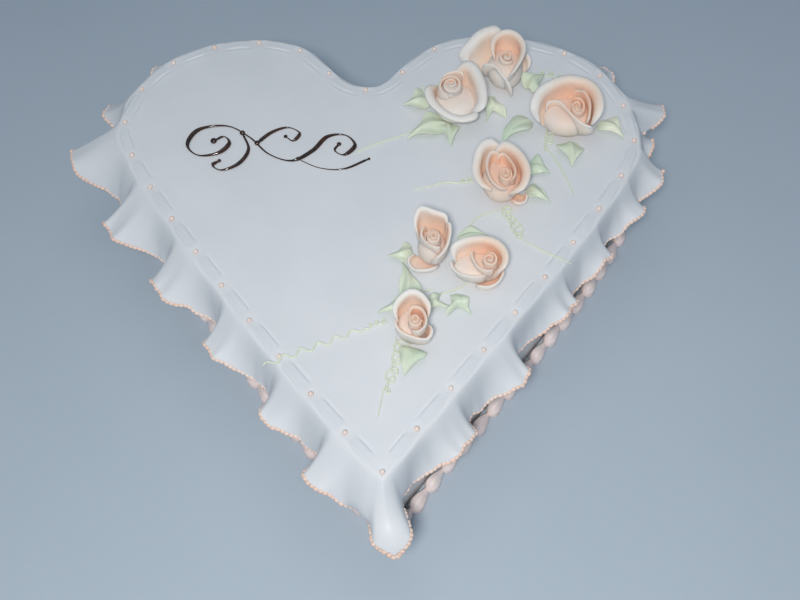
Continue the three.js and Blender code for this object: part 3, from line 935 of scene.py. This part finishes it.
def petal_points(u, v, heart, lip, roll=2.0, curl=120, bulge=1.5, foot=3.0):
    """A petal from its foot (v = 0) up to its lip line and over it, outwards and down (v = 1)."""
    crest, _ = smooth_line(lip, (u + 1) / 2)
    way = crest[:, :2] - heart
    way /= np.linalg.norm(way, axis=1, keepdims=True)
    # Both ends are pressed down and in against the petal beneath.
    tucked = np.clip((np.abs(u) - TUCK_START) / (1 - TUCK_START), 0, 1) ** 2
    crest = crest - np.insert(TUCK_IN * way, 2, TUCK_DOWN, axis=1) * tucked[:, None]
    root = np.array(heart) * 0.5 + foot * way
    belly = root + (crest[:, :2] - root) * 0.85 + bulge * way
    belly_height = 0.4 * crest[:, 2]
    body = np.clip(v / LIP_START, 0, 1)
    over = np.clip((v - LIP_START) / (1 - LIP_START), 0, 1)
    first, second, third = (1 - body) ** 2, 2 * body * (1 - body), body ** 2
    flat = first[:, None] * root + second[:, None] * belly + third[:, None] * crest[:, :2]
    height = second * belly_height + third * crest[:, 2]
    rise = np.arctan2(crest[:, 2] - belly_height, ((crest[:, :2] - belly) * way).sum(1))
    bend = math.radians(curl) * over
    size = roll * (1 - 0.8 * tucked)
    flat += (size * (np.sin(rise) - np.sin(rise - bend)))[:, None] * way
    height += size * (np.cos(rise - bend) - np.cos(rise))
    return np.concatenate([flat, height[:, None]], 1)


def bud_points(u, v, heart, turn, turns, inner, outer, tall, close=0.3, oval=1.0, tilt=0.2):
    """The rolled bud: u runs along the roll from its middle (-1) to its free edge (1)."""
    t = (u + 1) / 2
    angle = np.radians(turn) + 2 * np.pi * turns * (t - 1)
    radius = mix(inner, outer, t ** 0.9)
    top = tall * (1 + 0.012 * np.sin(2.2 * angle)) - 0.07 * tall * t ** 2
    height = mix(2.0, top, v)
    belly = 1 + 0.1 * np.sin(np.pi * np.minimum(v * 1.1, 1)) - close * v ** 3 * (1 - 0.6 * t)
    reach = radius * belly
    x, y = reach * np.cos(angle), reach * np.sin(angle) * oval
    return np.stack([heart[0] + x, heart[1] + y, height + tilt * y * v], -1)


def grid_form(name, across, along):
    """A flat sheet of paste from -1 to 1 each way."""
    deselect()
    bpy.ops.mesh.primitive_grid_add(x_subdivisions=across, y_subdivisions=along, size=2)
    sheet = bpy.context.object
    sheet.name = name
    return sheet


def thicken(piece, thickness, fullness):
    """Gives a flat sheet its thickness, less of it where the fullness is under one."""
    full = piece.vertex_groups.new(name="full")
    for index, share in enumerate(fullness):
        full.add([index], float(share), "REPLACE")
    select_only(piece)
    wall = piece.modifiers.new("wall", "SOLIDIFY")
    wall.thickness = thickness * MM
    wall.offset = 0
    wall.use_even_offset = False
    wall.vertex_group = "full"
    wall.thickness_vertex_group = 0
    soften = piece.modifiers.new("soften", "SUBSURF")
    soften.levels = 1
    soften.render_levels = 1
    for name in ("wall", "soften"):
        bpy.ops.object.modifier_apply(modifier=name)
    piece.vertex_groups.clear()


def mark_points(piece, name, values):
    """Keeps a value for each point of a piece, for its material to read."""
    mark = piece.data.attributes.new(name, "FLOAT", "POINT")
    mark.data.foreach_set("value", np.asarray(values, np.float32))


# Each rose: how peach it is, where it stands on the sheet, its heart beside that place, the mound
# of paste inside it (x, y, half width, half depth, height), its rolled bud, and its petals from
# the inside outwards, each with places of its lip line: right, back and up from its foot.
ROSE_SHAPES = {
    "rose_top": dict(
        peach=0.75, base=(60, 73.6), heart=(3.5, -3), mound=(3, -3, 9, 11, 14.5),
        bud=dict(turn=330, turns=1.7, inner=0.7, outer=4.0, tall=17.5),
        petals=[
            dict(lip=[(-3.5, -3, 15), (-1.5, 5.5, 18), (3.5, 8.5, 19.5), (8.5, 6, 19.5),
                      (11, -1, 18.5), (8, -10, 16.5), (3.5, -16, 13.5)], roll=1.7, curl=115),
            dict(lip=[(3, 12, 17.5), (-6, 10, 16.5), (-11, 7, 13.5), (-15, 4.5, 9),
                      (-14.5, 1.5, 5)], roll=2.9, curl=150),
            dict(lip=[(-10, -3.5, 9), (-6.5, -5, 12), (-2, -7.5, 13), (0.5, -11, 11.5),
                      (4, -14.5, 8.5), (6.5, -18, 3)], roll=1.1, curl=70, bulge=2.5),
            dict(lip=[(14, 7, 7), (15.5, 3.5, 5.5), (15, 0.5, 2.5)], roll=1.2, curl=100),
        ]),
    "rose_round": dict(
        peach=0.6, base=(36.6, 50.4), heart=(-1.5, 2.5), mound=(0.5, -1.5, 10.5, 11.5, 12),
        bud=dict(turn=255, turns=2.3, inner=0.7, outer=6.5, tall=16.5, close=0.25),
        petals=[
            dict(lip=[(1.5, 14, 15), (7, 11, 15.5), (10, 4.5, 14.5), (11.5, -2, 13.5),
                      (11.5, -7.5, 12), (8.5, -12, 10)], roll=2.8, curl=140),
            dict(lip=[(-9.5, 6, 12), (-10.5, 1, 11.5), (-9, -5, 10.5), (-4, -10.5, 9),
                      (2, -13.5, 8.5), (8, -12.5, 9), (11, -9, 9.5)], roll=2.7, curl=140),
            dict(lip=[(-8, 4, 13), (-4.5, 9.5, 14), (1.5, 11.5, 14.5), (6, 9, 14.5)], roll=0.8,
                 curl=80),
        ]),
    "rose_large": dict(
        base=(92, 40), heart=(4, -3.5), mound=(0, -3, 12, 10.5, 13.5),
        bud=dict(turn=130, turns=1.5, inner=0.8, outer=4.2, tall=16, oval=1.35, close=0.15),
        petals=[
            dict(lip=[(3, 7, 15.5), (7.5, 4.5, 16), (9.5, -2, 16), (9.3, -8, 15),
                      (8, -13.5, 12.5)], roll=0.9, curl=90, bulge=0.8),
            dict(lip=[(-15, -7.5, 9), (-15, -3, 13.5), (-11.5, 3, 16.5), (-6, 6, 18),
                      (0.5, 7.7, 18.5), (7, 6, 18.5), (11, 1.5, 18), (12, -6.5, 17),
                      (10.5, -14.5, 13.5)], roll=2.5, curl=140),
            dict(lip=[(-12, -2, 12), (-10, 0, 13.3), (-6, 0.2, 14), (-3, -2, 14), (0.5, -7, 13),
                      (4.5, -12, 12), (8.5, -14, 11), (13, -13.5, 9.5)], roll=1.3, curl=85,
                 bulge=3.2),
        ]),
    "rose_oval": dict(
        peach=1.1, base=(57.8, 0.5), heart=(1, -6), mound=(-0.5, -3, 9, 11, 13),
        bud=dict(turn=60, turns=2.0, inner=0.6, outer=3.4, tall=17, oval=1.2),
        petals=[
            dict(lip=[(-3, 4, 15.5), (1, 4.5, 16.5), (4.2, -0.5, 16.5), (5.5, -6, 16),
                      (3.5, -10.5, 14.5)], roll=0.8, curl=85, bulge=0.8),
            dict(lip=[(-0.5, 7.5, 15.5), (-5, 6, 15.3), (-7, -0.5, 14.5), (-5.5, -7, 13),
                      (-2, -11, 12), (2.5, -12.5, 11.5)], roll=1.0, curl=95, bulge=0.8),
            dict(lip=[(-3, 10, 14.5), (2, 8.5, 15.5), (6, 4.5, 15.5), (8.5, -1.5, 15),
                      (9, -6.5, 14), (7, -11.5, 12.5), (2.5, -14, 10.5)], roll=2.3, curl=135),
            dict(lip=[(0.5, 12.5, 13.5), (-5.5, 12, 14), (-8.8, 8.5, 13.5), (-10.3, 3, 11.5),
                      (-10.2, -3, 10), (-7.5, -8, 9), (-3, -11, 8.5)], roll=2.4, curl=135),
            dict(lip=[(4, -11.5, 3), (7, -13.5, 2.5), (10.5, -12.5, 2.8), (11.5, -9, 5)],
                 roll=1.0, curl=70),
        ]),
    "rose_tall_bud": dict(
        peach=0.9, base=(23, -38.2), heart=(1.5, -4), mound=(1, -3, 6.5, 7.5, 14.5),
        bud=dict(turn=200, turns=2.4, inner=0.5, outer=3.8, tall=18.5),
        petals=[
            dict(lip=[(-2, 3, 16.5), (-3.5, -1.5, 15.5), (-1.5, -5.5, 14.5), (2.5, -8, 13.8),
                      (6, -8, 14.3)], roll=0.9, curl=85, bulge=2.2),
            dict(lip=[(-6, 0.5, 13.5), (-5.5, 5.5, 17.5), (-3, 8, 20.5), (3, 5.7, 20),
                      (6.5, 4.5, 19.5), (9, 2, 18)], roll=1.4, curl=100, bulge=1.0),
            dict(lip=[(8, 4, 18.5), (9, -1, 17), (7.5, -7, 14), (4.5, -10.5, 11.5),
                      (0.5, -12, 9)], roll=1.2, curl=95),
            dict(lip=[(-8, -4, 5), (-9.5, -8, 3.5), (-7, -12, 2.8), (-1, -12.5, 2.8),
                      (5, -10, 3)], roll=1.1, curl=80),
        ]),
    "rose_wide": dict(
        peach=0.9, base=(45.4, -52), heart=(4, 0), mound=(-1, 0.5, 11, 7, 10.5),
        bud=dict(turn=110, turns=1.8, inner=0.6, outer=3.8, tall=14, close=0.25),
        petals=[
            dict(lip=[(-3.5, 5.5, 12.8), (-3.3, 1.5, 12), (-1, -3, 11), (3, -5, 10.5),
                      (7, -4, 10.5)], roll=0.8, curl=85, bulge=0.6),
            dict(lip=[(-12.5, 3, 9.5), (-10.3, 6, 12), (-6, 7.5, 13.8), (-1, 8, 14.3),
                      (4.5, 7, 14.3), (8, 4.5, 13.8), (9.8, 0.5, 13), (9, -3.5, 11.5),
                      (6.5, -6.5, 9.5)], roll=1.8, curl=130),
            dict(lip=[(-13.2, 3, 8.5), (-11.5, -2, 7.5), (-7, -5.5, 7.5), (-1.5, -6.5, 7.5),
                      (3.5, -6, 8.5)], roll=1.2, curl=95, bulge=1.8),
            dict(lip=[(-3, -8, 3), (3.5, -9, 3.5), (8, -7, 5), (11, -1.5, 7.5)], roll=1.2,
                 curl=90),
        ]),
    "rose_small_bud": dict(
        base=(14.2, -79.4), heart=(2, -5), mound=(1, -3, 7, 7.5, 12.5),
        bud=dict(turn=20, turns=2.0, inner=0.5, outer=3.0, tall=16.3),
        petals=[
            dict(lip=[(-1.3, -3, 15), (1, 0, 16), (4.5, -0.7, 16), (6.5, -4.5, 15.5),
                      (6, -8, 14.2), (3, -10, 13.2), (-0.5, -9, 13)], roll=0.8, curl=90,
                 bulge=0.6),
            dict(lip=[(-6.5, -3.5, 12.5), (-5.3, 1.5, 15), (-2, 5, 16.7), (1, 6, 17.5),
                      (4.5, 4.5, 17), (7, 1, 16), (8.8, -2.5, 14.5)], roll=1.5, curl=115),
            dict(lip=[(-6.5, -1.5, 12), (-6, -5.5, 11), (-3.5, -8.5, 10), (0.5, -10, 9),
                      (4, -11, 8.5), (6.8, -11, 8.5), (8.5, -9, 9.5), (9, -5, 11.5)], roll=1.3,
                 curl=100, bulge=1.8),
        ]),
}


def make_rose(name, base, heart, mound, bud, petals, peach=1.0):
    foot = np.array([base[0], base[1], TOP_HEIGHT + PIECE_GAP]) - [*CENTRE, 0]
    roll = grid_form("bud", 72, 12)
    u, v, _ = points_of(roll).T
    place_points(roll, bud_points(u, (v + 1) / 2, heart, **bud) * MM)
    mark_points(roll, "lip", np.zeros(len(u)))
    thicken(roll, PETAL_THICKNESS, 1 - 0.75 * np.clip((u - 0.8) / 0.2, 0, 1))
    parts = [roll]
    for petal in petals:
        sheet = grid_form("petal", 26, 16)
        u, v, _ = points_of(sheet).T
        place_points(sheet, petal_points(u, (v + 1) / 2, heart, **petal) * MM)
        mark_points(sheet, "lip", np.clip((v - 0.1) / 0.5, 0, 1))
        thicken(sheet, PETAL_THICKNESS, 1 - 0.7 * np.clip((np.abs(u) - 0.75) / 0.25, 0, 1))
        parts.append(sheet)
    # The mound of paste that the petals are stuck to fills the rose between them, and a cone of it
    # fills the bud.
    middle = bud["outer"] * 0.92
    cone = (*heart, middle, middle * bud.get("oval", 1), bud["tall"] - 0.8)
    for x, y, wide, deep, high in (mound, cone):
        lump = ball(32, 20)
        px, py, pz = points_of(lump).T
        up = np.sign(pz) * np.abs(pz) ** MOUND_FULLNESS
        lump_points = np.stack([x + px * wide, y + py * deep, (up + 1) / 2 * high], -1)
        place_points(lump, lump_points * MM)
        parts.append(lump)
    rose = join_pieces(parts, name + "_petals")
    face_outward(rose)
    points = points_of(rose) / MM
    normals = np.zeros(len(points) * 3)
    rose.data.vertex_normals.foreach_get("vector", normals)
    away = points[:, :2] - heart
    distance = np.linalg.norm(away, axis=1) + 1e-6
    spread = max(math.dist(place[:2], heart) for petal in petals for place in petal["lip"])
    outer_face = (normals.reshape(-1, 3)[:, :2] * away).sum(1) / distance
    lip = np.zeros(len(points))
    rose.data.attributes["lip"].data.foreach_get("value", lip)
    away_share = distance / spread
    blush = peach * (HEART_BLUSH - SPREAD_FADE * away_share)
    blush -= OUTER_FADE * outer_face + LIP_FADE * lip * away_share
    mark_points(rose, "blush", np.clip(blush, 0, 1))
    placed = points + foot
    placed[:, 2] = np.maximum(placed[:, 2], TOP_HEIGHT + 0.1)
    place_points(rose, placed * MM)
    return rose


def petal_material():
    """Sugar paste, white to peach by the blush of each point, with a soft cloud and fine grain."""
    material, tree, shader = new_material("rose_paste")
    place = node(tree, "ShaderNodeTexCoord")
    blush = node(tree, "ShaderNodeAttribute")
    blush.attribute_name = "blush"
    relief = relief_node(tree, place, 1400.0)
    cloud = node(tree, "ShaderNodeTexNoise", Scale=160.0, Detail=3.0)
    blend = math_node(tree, "MULTIPLY_ADD", 0.16)
    tone = colour_ramp(tree, (0.1, (0.87, 0.825, 0.78)), (0.5, (0.91, 0.76, 0.665)),
                       (1.0, (0.93, 0.60, 0.45)))
    bump = node(tree, "ShaderNodeBump", Strength=0.4, Distance=0.00012)
    wire(tree, (place, "Object", cloud, "Vector"), (cloud, "Fac", blend, 0), (blush, "Fac", blend, 2),
         (blend, 0, tone, "Fac"), (tone, "Color", shader, "Base Color"),
         (relief, "Height", bump, "Height"), (bump, "Normal", shader, "Normal"))
    set_inputs(shader, Roughness=0.5, Subsurface_Weight=0.45, Subsurface_Radius=(1.0, 0.78, 0.64),
               Subsurface_Scale=0.0028, Specular_IOR_Level=0.3)
    return material


ROSE_PASTE = petal_material()
for rose_name, shape in ROSE_SHAPES.items():
    finish_piece(make_rose(rose_name, **shape), ROSE_PASTE, "rose_paste", rose_name)


# Leaves.
# Pale green leaves piped with a leaf tube round the roses: a raised middle rib, soft pleats in
# the blade, wavy sides and a drawn-out point, or two where the tube was lifted twice.

LEAVES = {
    # Root x and y, tip x and y, width, sideways bend, ruffle, fold of the blade, phase, forked tip.
    "leaf_01": [(23.2, 57.2, 10.8, 53.4, 13, 1.2, 1.1, 1.0, 0.2, 0)],
    "leaf_02": [(32.6, 39.6, 12.8, 30.6, 14.5, -1.8, 0.9, 1.3, 1.0, 0),
                (33.2, 39.4, 34.4, 24.6, 8.5, 0.6, 0.8, 0.9, 2.0, 0)],
    "leaf_03": [(54.4, 56.8, 57.8, 41.4, 11, 0.4, 0.6, 0.8, 0.4, 1)],
    "leaf_04": [(75.2, 62, 84, 72, 12, 1.6, 1.4, 1.0, 2.2, 0)],
    "leaf_05": [(73.8, 40.6, 59.2, 25.2, 11.5, -2.2, 0.8, 1.3, 3.0, 0)],
    "leaf_06": [(92.0, 25.0, 92.6, 10.6, 13, 1.0, 1.2, 1.5, 0.9, 0)],
    "leaf_07": [(108.4, 37.4, 119.4, 27.6, 11, 1.6, 0.7, 1.3, 1.9, 0)],
    "leaf_08": [(71.2, 9.6, 81.6, 6.2, 12, 1.0, 0.9, 1.1, 2.7, 0)],
    "leaf_09": [(71.0, -2.4, 80.4, -11.2, 9.5, -1.0, 0.6, 1.2, 0.1, 0)],
    "leaf_10": [(14.6, -38.2, 3.6, -40.6, 10.5, 2.2, 0.5, 1.4, 1.3, 0)],
    "leaf_11": [(36.0, -32.6, 53.4, -33.0, 8.5, 1.6, 0.5, 0.9, 2.3, 0)],
    "leaf_12": [(34.8, -63.2, 35.6, -73.6, 11, 0.6, 0.9, 1.2, 3.3, 1)],
    "leaf_13": [(12.2, -67.4, 10.4, -44.4, 10, -1.8, 0.6, 1.3, 0.6, 0),
                (11.8, -67.2, -0.6, -71.4, 8.5, 1.0, 0.6, 1.0, 1.6, 0)],
    "leaf_14": [(21.2, -67.8, 30.2, -64.4, 9, -0.8, 0.6, 0.9, 2.6, 1)],
    "leaf_15": [(13.8, -90.4, 11, -103.4, 12, 1.0, 0.9, 1.4, 3.5, 0)],
}
LEAF_RISE = 3.2
LEAF_THICKNESS = 0.75
LEAF_LIFT = 0.75
LEAF_FLOOR = 0.45
LEAF_FRILL = 0.2
RIB_HEIGHT = 0.38
RIB_WIDTH = 0.13
PLEAT_DEPTH = 0.42


def line_ways(start, end):
    """The length from one place to another, the direction along it and the one beside it."""
    way = np.subtract(end, start)
    length = np.hypot(*way)
    way = way / length
    return length, way, np.array([-way[1], way[0]])


def leaf_points(u, v, base_x, base_y, tip_x, tip_y, width, bend, ruffle, fold, phase, forked):
    start = np.array([base_x, base_y])
    length, way, side = line_ways(start, (tip_x, tip_y))
    steps = [0, 0.1, 0.25, 0.4, 0.58, 0.76, 0.9, 1]
    if forked:
        swell = np.interp(v, steps, [0.5, 0.56, 0.62, 0.7, 0.8, 0.92, 1.0, 0.98])
    else:
        swell = np.interp(v, steps, [0.5, 0.78, 1.0, 0.96, 0.62, 0.3, 0.12, 0.02])
    edge = np.abs(u)
    both = 1.9 * np.sign(u)
    frill = 1 + LEAF_FRILL * np.sin(phase + 8.5 * v + both) * edge ** 2 * np.minimum(1, 4 * (1 - v))
    across = u * width / 2 * swell * frill + bend * np.sin(np.pi * v)
    # A forked leaf is drawn out at both corners; the others come to one point.
    if forked:
        along = v * length - 0.45 * length * v ** 2 * (1 - edge ** 1.3)
    else:
        along = v * length - 1.2 * edge * swell
    arch = LEAF_RISE * np.sin(np.pi * np.clip(v * 0.92 + 0.08, 0, 1)) ** 0.8
    rib = RIB_HEIGHT * np.exp(-(u / RIB_WIDTH) ** 2) * np.minimum(1, 3 * (1 - v))
    blade = -fold * edge ** 1.2 * swell + rib
    wavy = 1.3 * ruffle * edge ** 1.3 * np.sin(phase + 7.5 * v + both) * swell
    pleats = PLEAT_DEPTH * np.sin(phase + 5.2 * u + 2.4 * v) * swell * np.minimum(1, 3 * (1 - v))
    flat = start + along[:, None] * way + across[:, None] * side
    z = TOP_HEIGHT + PIECE_GAP + LEAF_LIFT + arch + blade + wavy + pleats
    return np.concatenate([flat - CENTRE, z[:, None]], 1)


def make_leaf(name, blades):
    parts = []
    for values in blades:
        sheet = grid_form("blade", 16, 22)
        u, v, _ = points_of(sheet).T
        points = leaf_points(u, (v + 1) / 2, *values)
        points[:, 2] = np.maximum(points[:, 2], TOP_HEIGHT + PIECE_GAP + LEAF_FLOOR)
        place_points(sheet, points * MM)
        thicken(sheet, LEAF_THICKNESS, 1 - 0.35 * np.abs(u))
        parts.append(sheet)
    leaf = join_pieces(parts, name + "_piped")
    face_outward(leaf)
    return leaf


LEAF_ICING = icing_material("leaf_icing", (0.60, 0.74, 0.58), (0.87, 0.875, 0.69), grain=1300.0,
                            roughness=(0.3, 0.44), depth=0.0001, milky=0.2)
for leaf_name, blades in LEAVES.items():
    finish_piece(make_leaf(leaf_name, blades), LEAF_ICING, "leaf_icing", leaf_name)


# Vines.
# Thin pale green lines piped between the roses with a plain tube: stems, loose tendrils and
# little curls. They lie on the sheet.

VINE_RADIUS = 0.43
VINE_LIFT = 0.55
VINE_END = 0.45


def curls(start, end, count, size, seed):
    """A line of uneven loops from one place to another, as the tube is circled while it moves."""
    chance = random.Random(seed)
    length, way, side = line_ways(start, end)
    t = np.linspace(0, 1, count * 12 + 1)
    knots = np.linspace(0, 1, 2 * count + 1)
    high = np.interp(t, knots, [size * chance.uniform(0.6, 1.2) for _ in knots])
    wide = np.interp(t, knots, [size * chance.uniform(0.75, 1.35) for _ in knots])
    drift = np.interp(t, knots, [size * chance.uniform(-0.45, 0.45) for _ in knots])
    turn = 2 * np.pi * count * t
    along = t * length + wide * np.sin(turn)
    across = (high * (1 - np.cos(turn)) + drift) * np.minimum(1, 6 * (1 - t))
    return [start + a * way + b * side for a, b in zip(along, across)]


def waves(start, end, count, size):
    """A wavy line from one place to another, with waves that grow and die away."""
    length, way, side = line_ways(start, end)
    share = np.linspace(0, 1, count * 8 + 1)
    fade = np.minimum(1, 5 * np.minimum(share, 1 - share) + 0.3)
    swing = size * np.sin(2 * np.pi * count * share) * fade
    return [start + way * length * s + side * w for s, w in zip(share, swing)]


def piped_line(name, points, radius, height):
    """A round line of icing through points on the top, thinner at its two ends."""
    curve = bpy.data.curves.new(name, "CURVE")
    curve.dimensions = "3D"
    curve.bevel_depth = radius * MM
    curve.bevel_resolution = 2
    curve.use_fill_caps = True
    curve.resolution_u = 4
    spline = curve.splines.new("NURBS")
    spline.points.add(len(points) - 1)
    spline.order_u = 3
    spline.use_endpoint_u = True
    for k, (x, y) in enumerate(points):
        spline.points[k].co = ((x - CENTRE[0]) * MM, (y - CENTRE[1]) * MM, height * MM, 1)
        spline.points[k].radius = VINE_END if k in (0, len(points) - 1) else 1
    line = bpy.data.objects.new(name, curve)
    bpy.context.collection.objects.link(line)
    select_only(line)
    bpy.ops.object.convert(target="MESH")
    return bpy.context.object


VINES = [
    [(-13.5, 23), (-6, 27), (3, 31), (13, 34.5), (20, 40)],
    curls((20, 62), (36, 66), 4, 1.9, 2),
    curls((80, 73), (108, 66), 6, 1.8, 3),
    curls((83, 43), (80, 21), 5, 2.0, 4),
    [(82, 22), (86, 14), (89, 5), (92, -6)],
    [(16, -1), (24, 0.5), (32, 3.5), (38, 2)] + curls((38, 2), (45, 3), 2, 1.4, 5),
    curls((57, -14), (64, -32), 6, 2.2, 6),
    [(57, -15), (50, -16), (44, -20), (41, -26), (41, -31)],
    [(64, -31), (72, -37), (80, -42), (88, -47)],
    [(24, -63), (30, -61), (38, -58), (42, -53)],
    [(14, -63), (18, -60), (25, -59)],
    waves((-50, -97), (-6, -79), 6, 1.7) + curls((-5, -79), (4, -76), 3, 1.3, 7),
    curls((8, -84), (2, -112), 6, 2.6, 8),
    [(2, -112), (1, -118), (0, -123)],
]


def make_vines():
    lines = [piped_line(f"vine_{k}", points, VINE_RADIUS, TOP_HEIGHT + VINE_LIFT)
             for k, points in enumerate(VINES)]
    return join_pieces(lines, "vines")


VINE_ICING = icing_material("vine_icing", (0.77, 0.84, 0.65), (0.85, 0.885, 0.71), grain=1500.0,
                            roughness=(0.3, 0.4), depth=0.00004, milky=0.2)
finish_piece(make_vines(), VINE_ICING, "leaf_icing")


# Scroll.
# A flourish piped in dark brown glossy icing: four strokes that swell and thin as the tube is
# pressed, with a round drop at each end of a stroke.

DOWN_STROKE = math.radians(62)
# Each stroke: its widest radius and the places that its line runs through.
SCROLL_STROKES = [
    (1.3, [(-84, 33), (-79, 36), (-76, 31), (-81, 25), (-91, 24), (-97, 31), (-92, 41), (-78, 43),
           (-66, 35), (-56, 24), (-44, 19), (-34, 25), (-27, 34), (-18, 35), (-13, 28), (-18, 22),
           (-23, 25), (-21, 29)]),
    (1.1, [(-62, 31), (-55, 38), (-47, 41), (-41, 37), (-44, 32), (-48, 35)]),
    (1.1, [(-70, 38), (-66, 27), (-70, 18), (-78, 14), (-83, 17), (-80, 20)]),
    (0.9, [(-41, 20), (-30, 14), (-18, 13), (-6, 19)]),
]


def make_scroll():
    parts = []
    for thick, points in SCROLL_STROKES:
        _, length = smooth_line(points, [0])
        share = np.linspace(0, 1, int(length / 1.2))
        line, _ = smooth_line(points, share)
        ahead = np.gradient(line, axis=0)
        angle = np.arctan2(ahead[:, 1], ahead[:, 0])
        # The stroke is thick where the hand presses on the way down and thin on the way up.
        press = 0.5 + 0.5 * np.cos(2 * (angle - DOWN_STROKE))
        taper = np.clip(np.minimum(share, 1 - share) * 10 + 0.4, 0, 1)
        radius = thick * (0.24 + 0.68 * press) * taper
        ring = np.linspace(0, 2 * np.pi, 14, endpoint=False)
        rings = []
        for k, point in enumerate(line):
            way = ahead[k] / np.linalg.norm(ahead[k])
            side = np.array([-way[1], way[0]])
            flat = point - CENTRE + np.outer(np.cos(ring) * radius[k], side)
            height = np.maximum(np.sin(ring), -0.35) * 0.95 + 0.35
            high = TOP_HEIGHT + 0.12 + height * radius[k]
            rings.append(np.concatenate([flat, high[:, None]], 1) * MM)
        parts.append(loft("stroke", rings))
        for end, size in ((0, 1.25), (-1, 0.9)):
            drop = ball(20, 12)
            middle = np.array([*(line[end] - CENTRE), TOP_HEIGHT + 0.35 * thick * size])
            place_points(drop, (points_of(drop) * np.array([1, 1, 0.75]) * thick * size + middle) * MM)
            parts.append(drop)
    return join_pieces(parts, "scroll_piped")


def scroll_material():
    """Dark icing with a skin that has dried glossy."""
    material, tree, shader = new_material("brown_icing")
    place = node(tree, "ShaderNodeTexCoord")
    cloud = node(tree, "ShaderNodeTexNoise", Scale=220.0, Detail=3.0)
    tone = colour_ramp(tree, (0.35, (0.012, 0.004, 0.002)), (0.7, (0.065, 0.020, 0.009)))
    shine = node(tree, "ShaderNodeMapRange", To_Min=0.08, To_Max=0.22)
    bump = node(tree, "ShaderNodeBump", Strength=0.3, Distance=0.00008)
    wire(tree, (place, "Object", cloud, "Vector"), (cloud, "Fac", tone, "Fac"),
         (cloud, "Fac", shine, "Value"), (cloud, "Fac", bump, "Height"),
         (tone, "Color", shader, "Base Color"), (shine, "Result", shader, "Roughness"),
         (bump, "Normal", shader, "Normal"))
    set_inputs(shader, Coat_Weight=0.5, Coat_Roughness=0.08)
    return material


scroll = make_scroll()
face_outward(scroll)
finish_piece(scroll, scroll_material(), "scroll_icing", "scroll")
